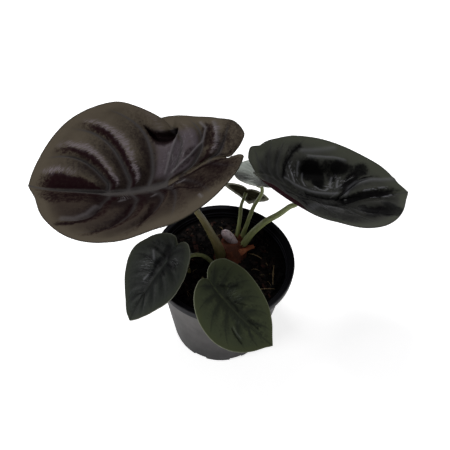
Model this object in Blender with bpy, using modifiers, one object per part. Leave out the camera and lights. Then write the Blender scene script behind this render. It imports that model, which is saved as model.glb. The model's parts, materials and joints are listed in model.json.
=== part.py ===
"""Copper-leaf alocasia standing in a round plastic nursery pot.

Metres, +Z up. The origin is the middle of the pot's underside, and -Y is the side that the leaves face.
Lengths below are in millimetres and become metres where a shape is made.
"""

import math
import random

import bmesh
import bpy
import numpy as np
from mathutils import Matrix, Vector, noise

MM = 0.001
GAP = 0.3

# Pot: a 4.5 inch nursery pot
POT_HEIGHT = 94.0
LIP_RADIUS = 57.0
LIP_HEIGHT = 6.5
LIP_ROUNDING = 1.2
LIP_TAPER = 0.4
LIP_UNDERCUT = 0.6
WALL_TOP_RADIUS = 53.6
BASE_RADIUS = 40.0
WALL = 1.4
FLOOR = 1.8
BASE_ROUNDING = 1.5
POT_STEPS = 48
DRAIN_SLOTS = 8
DRAIN_WIDTH = 11.0
DRAIN_HEIGHT = 4.0
DRAIN_INNER_RADIUS = 33.0
DRAIN_OUTER_RADIUS = 44.0
SHARP_ANGLE = math.radians(35)

# Growing mix
SOIL_EDGE = 84.5
SOIL_RISE = 1.6
SOIL_RINGS = 10
SOIL_ROUGHNESS = 1.1
LUMPS_PER_MM = 0.16
FLAT_ROUND_CROWN = (18.0, 26.0)
CHIP_COUNT = 50
CHIP_SEED = 11
CHIP_SPREAD = 44.0
CHIP_LENGTH = (5.0, 11.0)
CHIP_WIDTH = (3.0, 6.0)
CHIP_STAND = (1.5, 3.0)
CHIP_ROOT = 4.0
CHIP_LIFT = 0.8
CHIP_LEAN = 0.3
CHIP_CORNERS = (0.7, 1.1)
CHIP_REACH = 0.42
CHIP_CLEARANCE = 4.0

# Crown: the short rhizome, with one sheath round each of the four middle petioles
CROWN_MIDDLE = (6.5, 15.0, 83.0)
CROWN_RADII = (13.0, 16.5, 9.0)
SHEATH_WALL = 1.7
SHEATH_LIP = 1.1
SHEATH_SWELL = 1.0
SHEATH_FOOT_SHARE = 0.7
TALL_SHEATH = 6.0
SHORT_SHEATH = 4.0

# Blades: puffed areas between sunken veins that are sharp to the base and soft to the tip
BLADE_THICKNESS = 0.8
PUFF_SKEW = 1.2
PUFF_FULLNESS = 0.7
PUFF_RISE = 6.0
MARGIN_START = 0.7
CURL_WIDTH_SHARE = 0.55
BACK_SWEEP_SHARE = 0.6
WELD = 0.05

# Petioles: each ends in a short knee square to the underside of its blade
KNEE = 4.5
STEM_ROUNDING = 2
STEM_STEPS = 4

# Directions from a blade's tip, in degrees, at which the radius of its half outlines is given
OUTLINE_ANGLES = (0, 7, 17, 35, 60, 88, 116, 140, 157, 169, 176, 180)

# A half blade's veins from the sinus round to the tip: where each leaves the midrib as a share of the
# front length, the direction of its end from the tip in degrees, and how far it bows to the leaf's base
LARGE_LEFT_VEINS = dict(
    starts=(0, 0, 0, 0, 0.11, 0.27, 0.41, 0.66, 1),
    ends=(180, 150, 118, 92, 60, 39, 19, 8, 0),
    bows=(0, 0.1, 0.24, 0.18, 0.16, 0.14, 0.2, 0.12, 0),
)
LARGE_RIGHT_VEINS = dict(
    starts=(0, 0, 0, 0.02, 0.13, 0.28, 0.62, 1),
    ends=(180, 148, 114, 80, 48, 17, 7, 0),
    bows=(0, 0.1, 0.22, 0.2, 0.18, 0.2, 0.12, 0),
)
SMALL_VEINS = dict(
    starts=(0, 0, 0, 0.08, 0.26, 0.46, 0.7, 1),
    ends=(180, 146, 112, 78, 50, 27, 11, 0),
    bows=(0, 0.1, 0.21, 0.2, 0.18, 0.16, 0.12, 0),
)
COMMON_OUTLINE = (1, 0.9, 0.8, 0.7, 0.6, 0.54, 0.54, 0.56, 0.57, 0.545, 0.49, 0.43)


def common_outline(length):
    return [share * length for share in COMMON_OUTLINE]


# Each leaf: the blade's place, bends and outline, then the petiole's route from the crown to the blade.
# heading, pitch and roll are degrees; fold, curl and droop are radians; left is the side at heading + 90
LEAVES = dict(
    large_left=dict(
        attach=(-43.7, 8.1, 175.0),
        heading=181.4, pitch=10.3, roll=-3.8,
        length=103, fold=(0.29, 0.29), curl=(-0.1, 0.23), droop=-0.12, back_droop=0.44, sweep=0.08,
        left=(103, 96, 92, 81, 64, 53, 54, 57, 59.5, 59, 54, 47),
        right=(103, 101, 98, 93, 79, 48.5, 47.5, 52, 58.5, 60, 54, 47),
        veins=LARGE_LEFT_VEINS, relief=3.6, margin_share=0.4, pocket=True,
        columns=4, rows=8,
        route=((-1, 6.8, 80), (-2.6, 7.2, 94), (-8.4, 7.6, 115), (-22, 7.7, 143), (-37, 8, 164)),
        radii=(3.4, 3.0, 2.5, 2.2, 2.0, 1.8, 1.7),
        colour=(0.075, 0.055, 0.045),
    ),
    large_right=dict(
        attach=(56.5, 19.4, 158.0),
        heading=14.0, pitch=23.0, roll=-5.3,
        length=91.5, fold=(0.26, 0.27), curl=(0.06, 0.07), droop=-0.37, back_droop=0.65, sweep=-0.032,
        left=(91.5, 86.5, 82.5, 72.5, 61.5, 51.5, 46, 45.5, 50.5, 50, 45, 42),
        right=(91.5, 85, 79, 69.5, 58, 48, 48, 50, 52, 51, 47, 42),
        veins=LARGE_RIGHT_VEINS, relief=4.2, margin_share=0.3, pocket=False,
        columns=4, rows=8,
        route=((13, 15.5, 80), (16, 16.5, 94), (30.6, 16.5, 124), (49.8, 18.2, 144)),
        radii=(3.2, 2.9, 2.4, 2.1, 1.8, 1.7),
        colour=(0.02, 0.022, 0.02),
    ),
    small_left=dict(
        attach=(-46.0, -23.1, 112.0),
        heading=232.3, pitch=34.5, roll=8.2,
        length=50.0, fold=(0.26, 0.24), curl=(-0.15, -0.09), droop=0.16, back_droop=0.44, sweep=-0.021,
        left=(50, 46, 41, 35, 31, 26.5, 25, 27, 27.5, 25.5, 22, 20),
        right=(50, 46, 39, 33, 29.5, 28.5, 26, 26, 26, 25, 22, 20),
        veins=SMALL_VEINS, relief=1.7, margin_share=0.3, pocket=False,
        columns=3, rows=7,
        route=((-8, 2, 77), (-10, 0.6, 88), (-18.4, -3, 101), (-28, -10.5, 108)),
        radii=(2.0, 1.9, 1.6, 1.5, 1.4, 1.3),
        colour=(0.035, 0.045, 0.032),
    ),
    small_front=dict(
        attach=(2.3, -54.4, 118.0),
        heading=-27.6, pitch=33.7, roll=6.6,
        length=51.5, fold=(0.15, 0.15), curl=(-0.22, -0.23), droop=0.03, back_droop=0.48, sweep=-0.03,
        left=(51.5, 47, 43, 37.5, 31.5, 28.5, 27.5, 28.5, 28, 25.5, 22.5, 20),
        right=(51.5, 47, 43.5, 38.5, 33, 29, 27.5, 27.5, 26.5, 24.5, 21.5, 20),
        veins=SMALL_VEINS, relief=1.4, margin_share=0.3, pocket=False,
        columns=3, rows=7,
        route=((1, -3, 77), (1, -7.5, 89), (0.5, -20, 101), (0, -37, 109)),
        radii=(2.0, 1.9, 1.6, 1.5, 1.4, 1.3),
        colour=(0.04, 0.052, 0.03),
    ),
    back_upper=dict(
        attach=(23.1, 31.1, 157.0),
        heading=103.5, pitch=21.1, roll=11.4,
        length=35.4, fold=(0.16, 0.07), curl=(-0.19, -0.21), droop=0.06, back_droop=0.34, sweep=-0.021,
        left=common_outline(35.4), right=common_outline(35.4),
        veins=SMALL_VEINS, relief=1.1, margin_share=0.3, pocket=False,
        columns=2, rows=6,
        route=((12, 21.5, 80), (14.5, 25, 92), (17.8, 27, 101), (23.2, 29.5, 123), (26.5, 30, 140)),
        radii=(2.3, 2.1, 1.8, 1.6, 1.4, 1.3, 1.3),
        colour=(0.14, 0.165, 0.15),
    ),
    back_lower=dict(
        attach=(15.5, 49.3, 121.0),
        heading=73.6, pitch=53.6, roll=4.5,
        length=36.5, fold=(0.12, 0.15), curl=(-0.28, -0.28), droop=0.39, back_droop=0.27, sweep=0.053,
        left=common_outline(36.5), right=common_outline(36.5),
        veins=SMALL_VEINS, relief=1.1, margin_share=0.3, pocket=False,
        columns=2, rows=6,
        route=((5, 22.5, 80), (7.5, 26.5, 91), (11.3, 37, 105), (12.7, 42, 112)),
        radii=(2.1, 1.9, 1.6, 1.4, 1.2, 1.2),
        colour=(0.1, 0.075, 0.06),
    ),
)
CROWN_LEAVES = ("large_left", "large_right", "back_upper", "back_lower")

# The pinched pocket in the left blade's far half: a pit with the margin standing up behind it
PIT_PLACE = (3.0, -31.0)
PIT_RADIUS = 9.0
PIT_DEPTH = 7.0

BUD_FOOT = (9.5, 19.5, 86.0)
BUD_TIP = (-1.5, 25.0, 103.0)
BUD_RADII = (2.5, 4.2, 1.1)
BUD_BELLY_LIFT = 1.5

# Side shoots, each as x, y, radius and height over the mix's edge
NUBS = ((-27.1, -8.6, 1.7, 5.0), (-15.4, -16.6, 2.0, 6.0))
NUB_ROOT = 3.0
NUB_STEPS = 10

FLAP_FOOT = (12.5, 9.5, 91.0)
FLAP_HEADING = 28.0
FLAP_LENGTH = 13.0
FLAP_WIDTH = 6.5
FLAP_THICKNESS = 0.7
FLAP_TAPER = 0.45
FLAP_ARCH = 2.5
FLAP_TROUGH = 5.0


def clear_scene():
    for obj in list(bpy.data.objects):
        bpy.data.objects.remove(obj, do_unlink=True)


def new_collection(name):
    collection = bpy.data.collections.new(name)
    bpy.context.scene.collection.children.link(collection)
    return collection


clear_scene()
plant = new_collection("alocasia_in_pot")
cutters = new_collection("cutters")


def material(name, colour, roughness):
    made = bpy.data.materials.new(name)
    made.use_nodes = True
    shader = made.node_tree.nodes["Principled BSDF"]
    shader.inputs["Base Color"].default_value = (*colour, 1)
    shader.inputs["Roughness"].default_value = roughness
    return made


def add(name, data, finish=None, collection=plant):
    obj = bpy.data.objects.new(name, data)
    collection.objects.link(obj)
    if finish:
        data.materials.append(finish)
    if collection is cutters:
        obj.hide_render = True
        obj.display_type = "WIRE"
    return obj


def move_to(collection, *objects):
    for obj in objects:
        for home in obj.users_collection:
            home.objects.unlink(obj)
        collection.objects.link(obj)


def mesh_from(work, name):
    mesh = bpy.data.meshes.new(name)
    work.to_mesh(mesh)
    work.free()
    mesh.shade_smooth()
    return mesh


def applied(obj):
    """Replaces the object's data with its evaluated mesh, its caps welded, and drops its modifiers."""
    graph = bpy.context.evaluated_depsgraph_get()
    mesh = bpy.data.meshes.new_from_object(obj.evaluated_get(graph))
    work = bmesh.new()
    work.from_mesh(mesh)
    bmesh.ops.remove_doubles(work, verts=work.verts, dist=1e-6)
    work.to_mesh(mesh)
    work.free()
    if obj.type == "MESH":
        obj.modifiers.clear()
        obj.data = mesh
        return obj
    made = bpy.data.objects.new(obj.name, mesh)
    made.matrix_world = obj.matrix_world
    for home in obj.users_collection:
        home.objects.link(made)
    made.hide_render = obj.hide_render
    made.display_type = obj.display_type
    name = obj.name
    bpy.data.objects.remove(obj)
    made.name = name
    return made


def keep_largest_shell(obj):
    """Drops the inner shell of any hollow that fusing has sealed, and any loose scrap."""
    work = bmesh.new()
    work.from_mesh(obj.data)
    unseen = set(work.verts)
    shells = []
    while unseen:
        shell, front = set(), [unseen.pop()]
        while front:
            vertex = front.pop()
            shell.add(vertex)
            for edge in vertex.link_edges:
                other = edge.other_vert(vertex)
                if other in unseen:
                    unseen.remove(other)
                    front.append(other)
        shells.append(shell)
    largest = max(shells, key=len)
    bmesh.ops.delete(work, geom=[v for v in work.verts if v not in largest], context="VERTS")
    work.to_mesh(obj.data)
    work.free()


def combine(obj, others, operation):
    """One exact Boolean of the object with every object of a collection, applied. The others are removed."""
    boolean = obj.modifiers.new(operation.lower(), "BOOLEAN")
    boolean.operation = operation
    boolean.operand_type = "COLLECTION"
    boolean.collection = others
    boolean.solver = "EXACT"
    applied(obj)
    keep_largest_shell(obj)
    for other in list(others.objects):
        bpy.data.objects.remove(other)
    bpy.data.collections.remove(others)


def turned(name, profile, steps, finish=None, collection=plant):
    """A solid turned about Z from a profile of (radius, height) that runs down its outer side."""
    mesh = bpy.data.meshes.new(name)
    points = [(radius * MM, 0, height * MM) for radius, height in profile]
    mesh.from_pydata(points, [(i, i + 1) for i in range(len(points) - 1)], [])
    obj = add(name, mesh, finish, collection)
    screw = obj.modifiers.new("turn", "SCREW")
    screw.steps = steps
    screw.render_steps = steps
    screw.use_merge_vertices = True
    screw.merge_threshold = 0.00001
    return obj


def arc(middle, radius, first, last, count):
    """Points on an arc in the (radius, height) plane, from one angle in degrees to another."""
    angles = [math.radians(first + (last - first) * i / count) for i in range(count + 1)]
    return [(middle[0] + radius * math.cos(a), middle[1] + radius * math.sin(a)) for a in angles]


def wall_radius(height):
    """Radius of the pot wall's outer face."""
    return BASE_RADIUS + (WALL_TOP_RADIUS - BASE_RADIUS) * height / POT_HEIGHT


def make_pot():
    lip_bottom = POT_HEIGHT - LIP_HEIGHT
    inner_top = wall_radius(POT_HEIGHT) - WALL
    lip = arc((LIP_RADIUS - LIP_ROUNDING, POT_HEIGHT - LIP_ROUNDING), LIP_ROUNDING, 90, 0, 3)
    inner_edge = arc((inner_top + LIP_ROUNDING, POT_HEIGHT - LIP_ROUNDING), LIP_ROUNDING, 180, 90, 3)
    foot = arc((BASE_RADIUS - BASE_ROUNDING, BASE_ROUNDING), BASE_ROUNDING, 0, -90, 3)
    profile = [
        (0, FLOOR),
        (wall_radius(FLOOR) - WALL, FLOOR),
        *inner_edge,
        *lip,
        (LIP_RADIUS - LIP_TAPER, lip_bottom),
        (wall_radius(lip_bottom), lip_bottom - LIP_UNDERCUT),
        *foot,
        (0, 0),
    ]
    pot = turned("pot", profile, POT_STEPS, material("black_plastic", (0.02, 0.02, 0.021), 0.35))
    slots = new_collection("slots")
    for i in range(DRAIN_SLOTS):
        angle = 2 * math.pi * (i + 0.5) / DRAIN_SLOTS
        middle = (DRAIN_INNER_RADIUS + DRAIN_OUTER_RADIUS) / 2
        bpy.ops.mesh.primitive_cube_add(size=1)
        slot = bpy.context.object
        slot.name = f"drain_slot_{i}"
        size = ((DRAIN_OUTER_RADIUS - DRAIN_INNER_RADIUS) * MM, DRAIN_WIDTH * MM, 2 * DRAIN_HEIGHT * MM)
        place = Matrix.Rotation(angle, 4, "Z") @ Matrix.Translation((middle * MM, 0, 0))
        slot.data.transform(place @ Matrix.Diagonal((*size, 1)))
        move_to(slots, slot)
    combine(pot, slots, "DIFFERENCE")
    pot.data.set_sharp_from_angle(angle=SHARP_ANGLE)


def smooth(at, knots, values):
    """A cubic curve through the values at the knots that never overshoots them."""
    knots = np.asarray(knots, float)
    values = np.asarray(values, float)
    if knots[0] > knots[-1]:
        knots, values = knots[::-1], values[::-1]
    secants = np.diff(values) / np.diff(knots)
    product = secants[1:] * secants[:-1]
    total = secants[1:] + secants[:-1]
    inner = np.where(product > 0, 2 * product / np.where(product > 0, total, 1), 0)
    slopes = np.concatenate([secants[:1], inner, secants[-1:]])
    i = np.clip(np.searchsorted(knots, at, side="right") - 1, 0, len(knots) - 2)
    step = knots[i + 1] - knots[i]
    t = (at - knots[i]) / step
    start = (1 + 2 * t) * (1 - t) ** 2 * values[i] + t * (1 - t) ** 2 * step * slopes[i]
    end = t * t * (3 - 2 * t) * values[i + 1] - t * t * (1 - t) * step * slopes[i + 1]
    return start + end


def eased(value, low, high):
    """0 below low, 1 above high, and a smooth step between them."""
    t = np.clip((value - low) / (high - low), 0, 1)
    return t * t * (3 - 2 * t)


def facing(leaf):
    """Columns are the blade's directions to the tip, to its left and up from its face."""
    turn = Matrix.Rotation(math.radians(leaf["heading"]), 3, "Z")
    dip = Matrix.Rotation(math.radians(leaf["pitch"]), 3, "Y")
    tilt = Matrix.Rotation(math.radians(leaf["roll"]), 3, "X")
    return np.array(turn @ dip @ tilt)


def flat_place(leaf, along, across):
    """Where a vein line lies on the flat blade, with x to the tip and y to the left of it."""
    side = np.where(across < 0, -1.0, 1.0)
    reach = np.abs(across)
    veins = leaf["veins"]
    number = np.arange(len(veins["ends"]))
    start = smooth(along, number, veins["starts"]) * leaf["length"]
    end = smooth(along, number, veins["ends"])
    bow = smooth(along, number, veins["bows"])
    left = smooth(end, OUTLINE_ANGLES, leaf["left"])
    right = smooth(end, OUTLINE_ANGLES, leaf["right"])
    radius = np.where(side > 0, left, right)
    run_x = radius * np.cos(np.radians(end)) - start
    run_y = radius * np.sin(np.radians(end))
    bowed = 4 * bow * reach * (1 - reach)
    x = start + run_x * reach - run_y * bowed
    y = run_y * reach + run_x * bowed
    return x, side * y, np.hypot(run_x, run_y)


def relief(leaf, along, across, x, y, vein_length):
    """Height of the puffed areas between the sunken veins, and of the pocket."""
    reach = np.abs(across)
    between = np.sin(np.pi * np.mod(along, 1) ** PUFF_SKEW) ** PUFF_FULLNESS
    rise = 1 - np.exp(-reach * vein_length / PUFF_RISE)
    fade = 1 - (1 - leaf["margin_share"]) * eased(reach, MARGIN_START, 1)
    height = leaf["relief"] * between * rise * fade
    if leaf["pocket"]:
        away = np.hypot(x - PIT_PLACE[0], y - PIT_PLACE[1])
        height = height - PIT_DEPTH * np.exp(-((away / PIT_RADIUS) ** 2))
    return height


def bent(leaf, x, y, lift):
    """Takes flat blade places, lifted off its face, to the plant's own space."""
    length = leaf["length"]
    half_width = CURL_WIDTH_SHARE * length
    droop = np.where(x > 0, leaf["droop"], -leaf["back_droop"]) / length
    turn = droop * x
    fold = np.where(y > 0, leaf["fold"][0], leaf["fold"][1])
    curl = np.where(y > 0, leaf["curl"][0], leaf["curl"][1]) / half_width
    slope = fold + curl * np.abs(y)
    out = (np.sin(slope) - np.sin(fold)) / curl - lift * np.sin(slope)
    up = (np.cos(fold) - np.cos(slope)) / curl + lift * np.cos(slope)
    share = x / length
    sideways = leaf["sweep"] * length * 4 * share * (1 - share) * np.where(x > 0, 1, BACK_SWEEP_SHARE)
    forward = np.sin(turn) / droop + up * np.sin(turn)
    rise = (np.cos(turn) - 1) / droop + up * np.cos(turn)
    local = np.stack([forward, np.sign(y) * out + sideways, rise], axis=-1)
    return local @ facing(leaf).T + leaf["attach"]


def blade_points(leaf, along, across):
    """Upper face of a blade: along counts veins from sinus to tip, across runs -1 to 1, margin to margin."""
    x, y, vein_length = flat_place(leaf, along, across)
    return bent(leaf, x, y, relief(leaf, along, across, x, y, vein_length))


def make_blade(name, leaf):
    intervals = len(leaf["veins"]["ends"]) - 1
    work = bmesh.new()
    bmesh.ops.create_grid(
        work, x_segments=2 * leaf["rows"], y_segments=intervals * leaf["columns"], size=1
    )
    across = np.array([vertex.co.x for vertex in work.verts])
    along = np.array([(vertex.co.y + 1) / 2 * intervals for vertex in work.verts])
    points = blade_points(leaf, np.round(along, 6), np.round(across, 6))
    for vertex, point in zip(work.verts, points):
        vertex.co = point * MM
    bmesh.ops.remove_doubles(work, verts=work.verts, dist=WELD * MM)
    bmesh.ops.recalc_face_normals(work, faces=work.faces)
    up = Vector(facing(leaf)[:, 2])
    if sum(face.normal.dot(up) for face in work.faces) < 0:
        bmesh.ops.reverse_faces(work, faces=work.faces)
    bmesh.ops.triangulate(work, faces=work.faces)
    blade = add(f"blade_{name}", mesh_from(work, name), material(f"blade_{name}", leaf["colour"], 0.35))
    shell = blade.modifiers.new("thickness", "SOLIDIFY")
    shell.thickness = BLADE_THICKNESS * MM
    shell.offset = -1


def petiole_route(leaf):
    """The hand-set route, then a knee and an end that is square on to the underside of the blade."""
    up = Vector(facing(leaf)[:, 2])
    end = Vector(leaf["attach"]) - up * (BLADE_THICKNESS + GAP + 0.1)
    return [Vector(point) for point in leaf["route"]] + [end - up * KNEE, end]


def stem_curve(name, points, radii, finish=None, collection=plant):
    curve = bpy.data.curves.new(name, "CURVE")
    curve.dimensions = "3D"
    curve.bevel_depth = MM
    curve.bevel_resolution = STEM_ROUNDING
    curve.resolution_u = STEM_STEPS
    curve.use_fill_caps = True
    spline = curve.splines.new("BEZIER")
    spline.bezier_points.add(len(points) - 1)
    for knot, point, radius in zip(spline.bezier_points, points, radii):
        knot.co = Vector(point) * MM
        knot.radius = radius
        knot.handle_left_type = "AUTO"
        knot.handle_right_type = "AUTO"
    return add(name, curve, finish, collection)


def make_stem(name, points, radii, finish):
    """A stem, and the slightly larger copy that cuts the plain hole it stands in, which is returned."""
    stem_curve(name, points, radii, finish)
    deeper = [points[0] - (points[1] - points[0]).normalized() * GAP, *points[1:]]
    cutter = stem_curve(f"hole_{name}", deeper, [radius + GAP for radius in radii], collection=cutters)
    return applied(cutter)


def soil_radius(height):
    return wall_radius(height) - WALL - GAP


def soil_height(radius):
    """Height of the mix's low dome, before its lumps."""
    return SOIL_EDGE + SOIL_RISE * math.cos(radius / soil_radius(SOIL_EDGE) * math.pi / 2)


def make_soil(stem_holes):
    """The mix as a frustum with a rough low dome, bark chips fused on, and plain holes for the stems."""
    bottom = FLOOR + GAP
    edge = soil_radius(SOIL_EDGE)
    rings = [edge * i / SOIL_RINGS for i in range(SOIL_RINGS)]
    top = [(radius, soil_height(radius)) for radius in rings]
    profile = [*top, (edge, SOIL_EDGE), (soil_radius(bottom), bottom), (0, bottom)]
    soil = applied(turned("soil", profile, POT_STEPS, material("bark_mix", (0.02, 0.015, 0.012), 0.9)))
    for vertex in soil.data.vertices:
        x, y = vertex.co.x / MM, vertex.co.y / MM
        if vertex.co.z > (SOIL_EDGE - 1) * MM and math.hypot(x, y) < edge - 1:
            from_crown = math.hypot(x - CROWN_MIDDLE[0], y - CROWN_MIDDLE[1])
            rough = SOIL_ROUGHNESS * eased(from_crown, *FLAT_ROUND_CROWN)
            vertex.co.z += rough * MM * noise.noise(vertex.co / MM * LUMPS_PER_MM)
    combine(soil, make_chips(), "UNION")
    holes = new_collection("soil_holes")
    move_to(holes, *stem_holes)
    combine(soil, holes, "DIFFERENCE")


def keep_clear():
    """Circles (x, y, radius) where no bark chip lies: the crown, the two outer stems and the nubs."""
    circles = [(CROWN_MIDDLE[0], CROWN_MIDDLE[1], max(CROWN_RADII) + CHIP_CLEARANCE)]
    for name, leaf in LEAVES.items():
        if name not in CROWN_LEAVES:
            circles.append((*leaf["route"][1][:2], 2 * CHIP_CLEARANCE))
    circles += [(x, y, radius + CHIP_CLEARANCE) for x, y, radius, _ in NUBS]
    return circles


def make_chips():
    """Bark chips strewn over the mix, each with its root sunk in it."""
    chips = new_collection("chips")
    draw = random.Random(CHIP_SEED)
    circles = keep_clear()
    placed = 0
    while placed < CHIP_COUNT:
        angle = draw.uniform(0, 2 * math.pi)
        distance = CHIP_SPREAD * math.sqrt(draw.random())
        size = [draw.uniform(*CHIP_LENGTH), draw.uniform(*CHIP_WIDTH), CHIP_ROOT + draw.uniform(*CHIP_STAND)]
        lean = (draw.uniform(-CHIP_LEAN, CHIP_LEAN), draw.uniform(-CHIP_LEAN, CHIP_LEAN))
        turn = draw.uniform(0, math.pi)
        x, y = distance * math.cos(angle), distance * math.sin(angle)
        reach = CHIP_REACH * size[0]
        if any(math.hypot(x - at_x, y - at_y) < reach + other for at_x, at_y, other in circles):
            continue
        circles.append((x, y, reach))
        height = soil_height(distance) - CHIP_ROOT / 2 + draw.uniform(0, CHIP_LIFT)
        bpy.ops.mesh.primitive_cube_add(size=1)
        chip = bpy.context.object
        chip.name = f"chip_{placed}"
        for corner in chip.data.vertices:
            corner.co = [value * draw.uniform(*CHIP_CORNERS) for value in corner.co]
        place = Matrix.Translation(Vector((x, y, height)) * MM) @ Matrix.Rotation(turn, 4, "Z")
        place = place @ Matrix.Rotation(lean[0], 4, "X") @ Matrix.Rotation(lean[1], 4, "Y")
        chip.data.transform(place @ Matrix.Diagonal((*[side * MM for side in size], 1)))
        move_to(chips, chip)
        placed += 1
    return chips


def ellipsoid(name, middle, radii, collection, finish=None):
    work = bmesh.new()
    bmesh.ops.create_uvsphere(work, u_segments=20, v_segments=12, radius=1)
    place = Matrix.Translation(Vector(middle) * MM) @ Matrix.Diagonal((*[r * MM for r in radii], 1))
    bmesh.ops.transform(work, matrix=place, verts=work.verts)
    return add(name, mesh_from(work, name), finish, collection)


def make_crown(stem_holes):
    """The rhizome's top, with a dry sheath round the foot of each petiole that rises from it."""
    finish = material("dry_sheath", (0.16, 0.05, 0.025), 0.6)
    crown = ellipsoid("crown", CROWN_MIDDLE, CROWN_RADII, plant, finish)
    sheaths = new_collection("sheaths")
    for name in CROWN_LEAVES:
        leaf = LEAVES[name]
        foot, knee = Vector(leaf["route"][0]), Vector(leaf["route"][1])
        way = (Vector(leaf["route"][2]) - knee).normalized()
        tall = TALL_SHEATH if name in ("large_left", "large_right") else SHORT_SHEATH
        points = [foot.lerp(knee, SHEATH_FOOT_SHARE), knee, knee + way * tall]
        foot_radius, knee_radius = leaf["radii"][:2]
        wide = [foot_radius + SHEATH_WALL + SHEATH_SWELL, knee_radius + SHEATH_WALL, knee_radius + SHEATH_LIP]
        sheath = applied(stem_curve(f"sheath_{name}", points, wide, collection=cutters))
        move_to(sheaths, sheath)
    move_to(sheaths, make_flap())
    combine(crown, sheaths, "UNION")
    holes = new_collection("crown_holes")
    for hole in stem_holes:
        holes.objects.link(hole.copy())
    combine(crown, holes, "DIFFERENCE")


def make_bud():
    """The rolled new leaf, a slim closed teardrop that leans left behind the sheaths."""
    foot, tip = Vector(BUD_FOOT), Vector(BUD_TIP)
    belly = foot.lerp(tip, 0.5) + Vector((0, 0, BUD_BELLY_LIFT))
    return make_stem("bud", [foot, belly, tip], BUD_RADII, material("bud", (0.3, 0.22, 0.24), 0.4))


def make_nub(number, x, y, radius, height, finish):
    """A pale side shoot with a blunt point, and the wider cutter for the hole it stands in."""
    foot = SOIL_EDGE - NUB_ROOT
    top = SOIL_EDGE + height
    profile = [(0, top), (radius * 0.45, top - 1), (radius, top - 4), (radius, foot), (0, foot)]
    nub = turned(f"side_shoot_{number}", profile, NUB_STEPS, finish)
    nub.location = Vector((x, y, 0)) * MM
    wide, above, below = radius + GAP, top + NUB_ROOT, foot - GAP
    hole_profile = [(0, above), (wide, above), (wide, below), (0, below)]
    hole = turned(f"shoot_hole_{number}", hole_profile, NUB_STEPS, collection=cutters)
    hole.location = nub.location
    bpy.context.view_layer.update()
    return applied(hole)


def make_flap():
    """A loose papery strip of old sheath that curls out from the crown's right side."""
    work = bmesh.new()
    bmesh.ops.create_grid(work, x_segments=8, y_segments=4, size=0.5)
    turn = Matrix.Rotation(math.radians(FLAP_HEADING), 3, "Z")
    for vertex in work.verts:
        run, over = vertex.co.x + 0.5, vertex.co.y
        narrow = 1 - FLAP_TAPER * run
        rise = FLAP_ARCH * math.sin(run * math.pi * 0.8) - FLAP_TROUGH * over * over * narrow
        place = Vector((FLAP_LENGTH * run, FLAP_WIDTH * over * narrow, rise))
        vertex.co = (Vector(FLAP_FOOT) + turn @ place) * MM
    bmesh.ops.triangulate(work, faces=work.faces)
    flap = add("flap", mesh_from(work, "flap"), collection=cutters)
    shell = flap.modifiers.new("thickness", "SOLIDIFY")
    shell.thickness = FLAP_THICKNESS * MM
    shell.offset = 0
    return applied(flap)


def build():
    make_pot()
    stalk = material("petiole", (0.16, 0.2, 0.06), 0.45)
    crown_holes, outer_holes = [], []
    for name, leaf in LEAVES.items():
        make_blade(name, leaf)
        hole = make_stem(f"petiole_{name}", petiole_route(leaf), leaf["radii"], stalk)
        (crown_holes if name in CROWN_LEAVES else outer_holes).append(hole)
    crown_holes.append(make_bud())
    make_crown(crown_holes)
    pale = material("side_shoot", (0.45, 0.42, 0.2), 0.5)
    for number, (x, y, radius, height) in enumerate(NUBS, 1):
        outer_holes.append(make_nub(number, x, y, radius, height, pale))
    crown_seat = [radius + GAP + 0.1 for radius in CROWN_RADII]
    crown_hole = ellipsoid("crown_seat", CROWN_MIDDLE, crown_seat, cutters)
    make_soil([crown_hole, *crown_holes, *outer_holes])


build()
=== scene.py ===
"""Looks of a copper-leaf alocasia in its nursery pot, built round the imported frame.

Sizes are in millimetres, in the frame's own axes, and become metres where a mesh is made.
"""

import json
import math
import random

import bmesh
import bpy
import numpy as np
from mathutils import Matrix, Vector, noise

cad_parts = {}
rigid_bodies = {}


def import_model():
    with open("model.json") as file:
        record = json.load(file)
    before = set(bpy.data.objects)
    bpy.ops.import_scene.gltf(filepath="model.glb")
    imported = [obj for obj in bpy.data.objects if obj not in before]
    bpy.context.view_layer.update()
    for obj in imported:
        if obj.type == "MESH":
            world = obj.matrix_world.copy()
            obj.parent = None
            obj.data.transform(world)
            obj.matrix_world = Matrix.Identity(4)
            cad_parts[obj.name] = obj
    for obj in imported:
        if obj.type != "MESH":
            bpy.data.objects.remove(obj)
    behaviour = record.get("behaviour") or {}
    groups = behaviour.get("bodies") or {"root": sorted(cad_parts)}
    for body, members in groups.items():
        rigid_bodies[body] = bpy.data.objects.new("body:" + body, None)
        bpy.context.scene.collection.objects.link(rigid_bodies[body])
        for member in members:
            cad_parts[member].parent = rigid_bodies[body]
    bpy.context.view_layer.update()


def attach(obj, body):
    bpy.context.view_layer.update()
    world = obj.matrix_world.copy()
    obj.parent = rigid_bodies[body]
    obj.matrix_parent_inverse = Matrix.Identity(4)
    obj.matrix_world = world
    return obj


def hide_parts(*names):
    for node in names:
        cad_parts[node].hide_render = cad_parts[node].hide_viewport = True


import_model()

MM = 0.001

# Camera: fitted to the pot's rim and base in the photograph
CAMERA_TARGET = (-0.4, 0.0, 136.6)
CAMERA_ELEVATION = 50.84
CAMERA_ROLL = 3.2
CAMERA_DISTANCE = 565.7
CAMERA_LENS = 60.0

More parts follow.
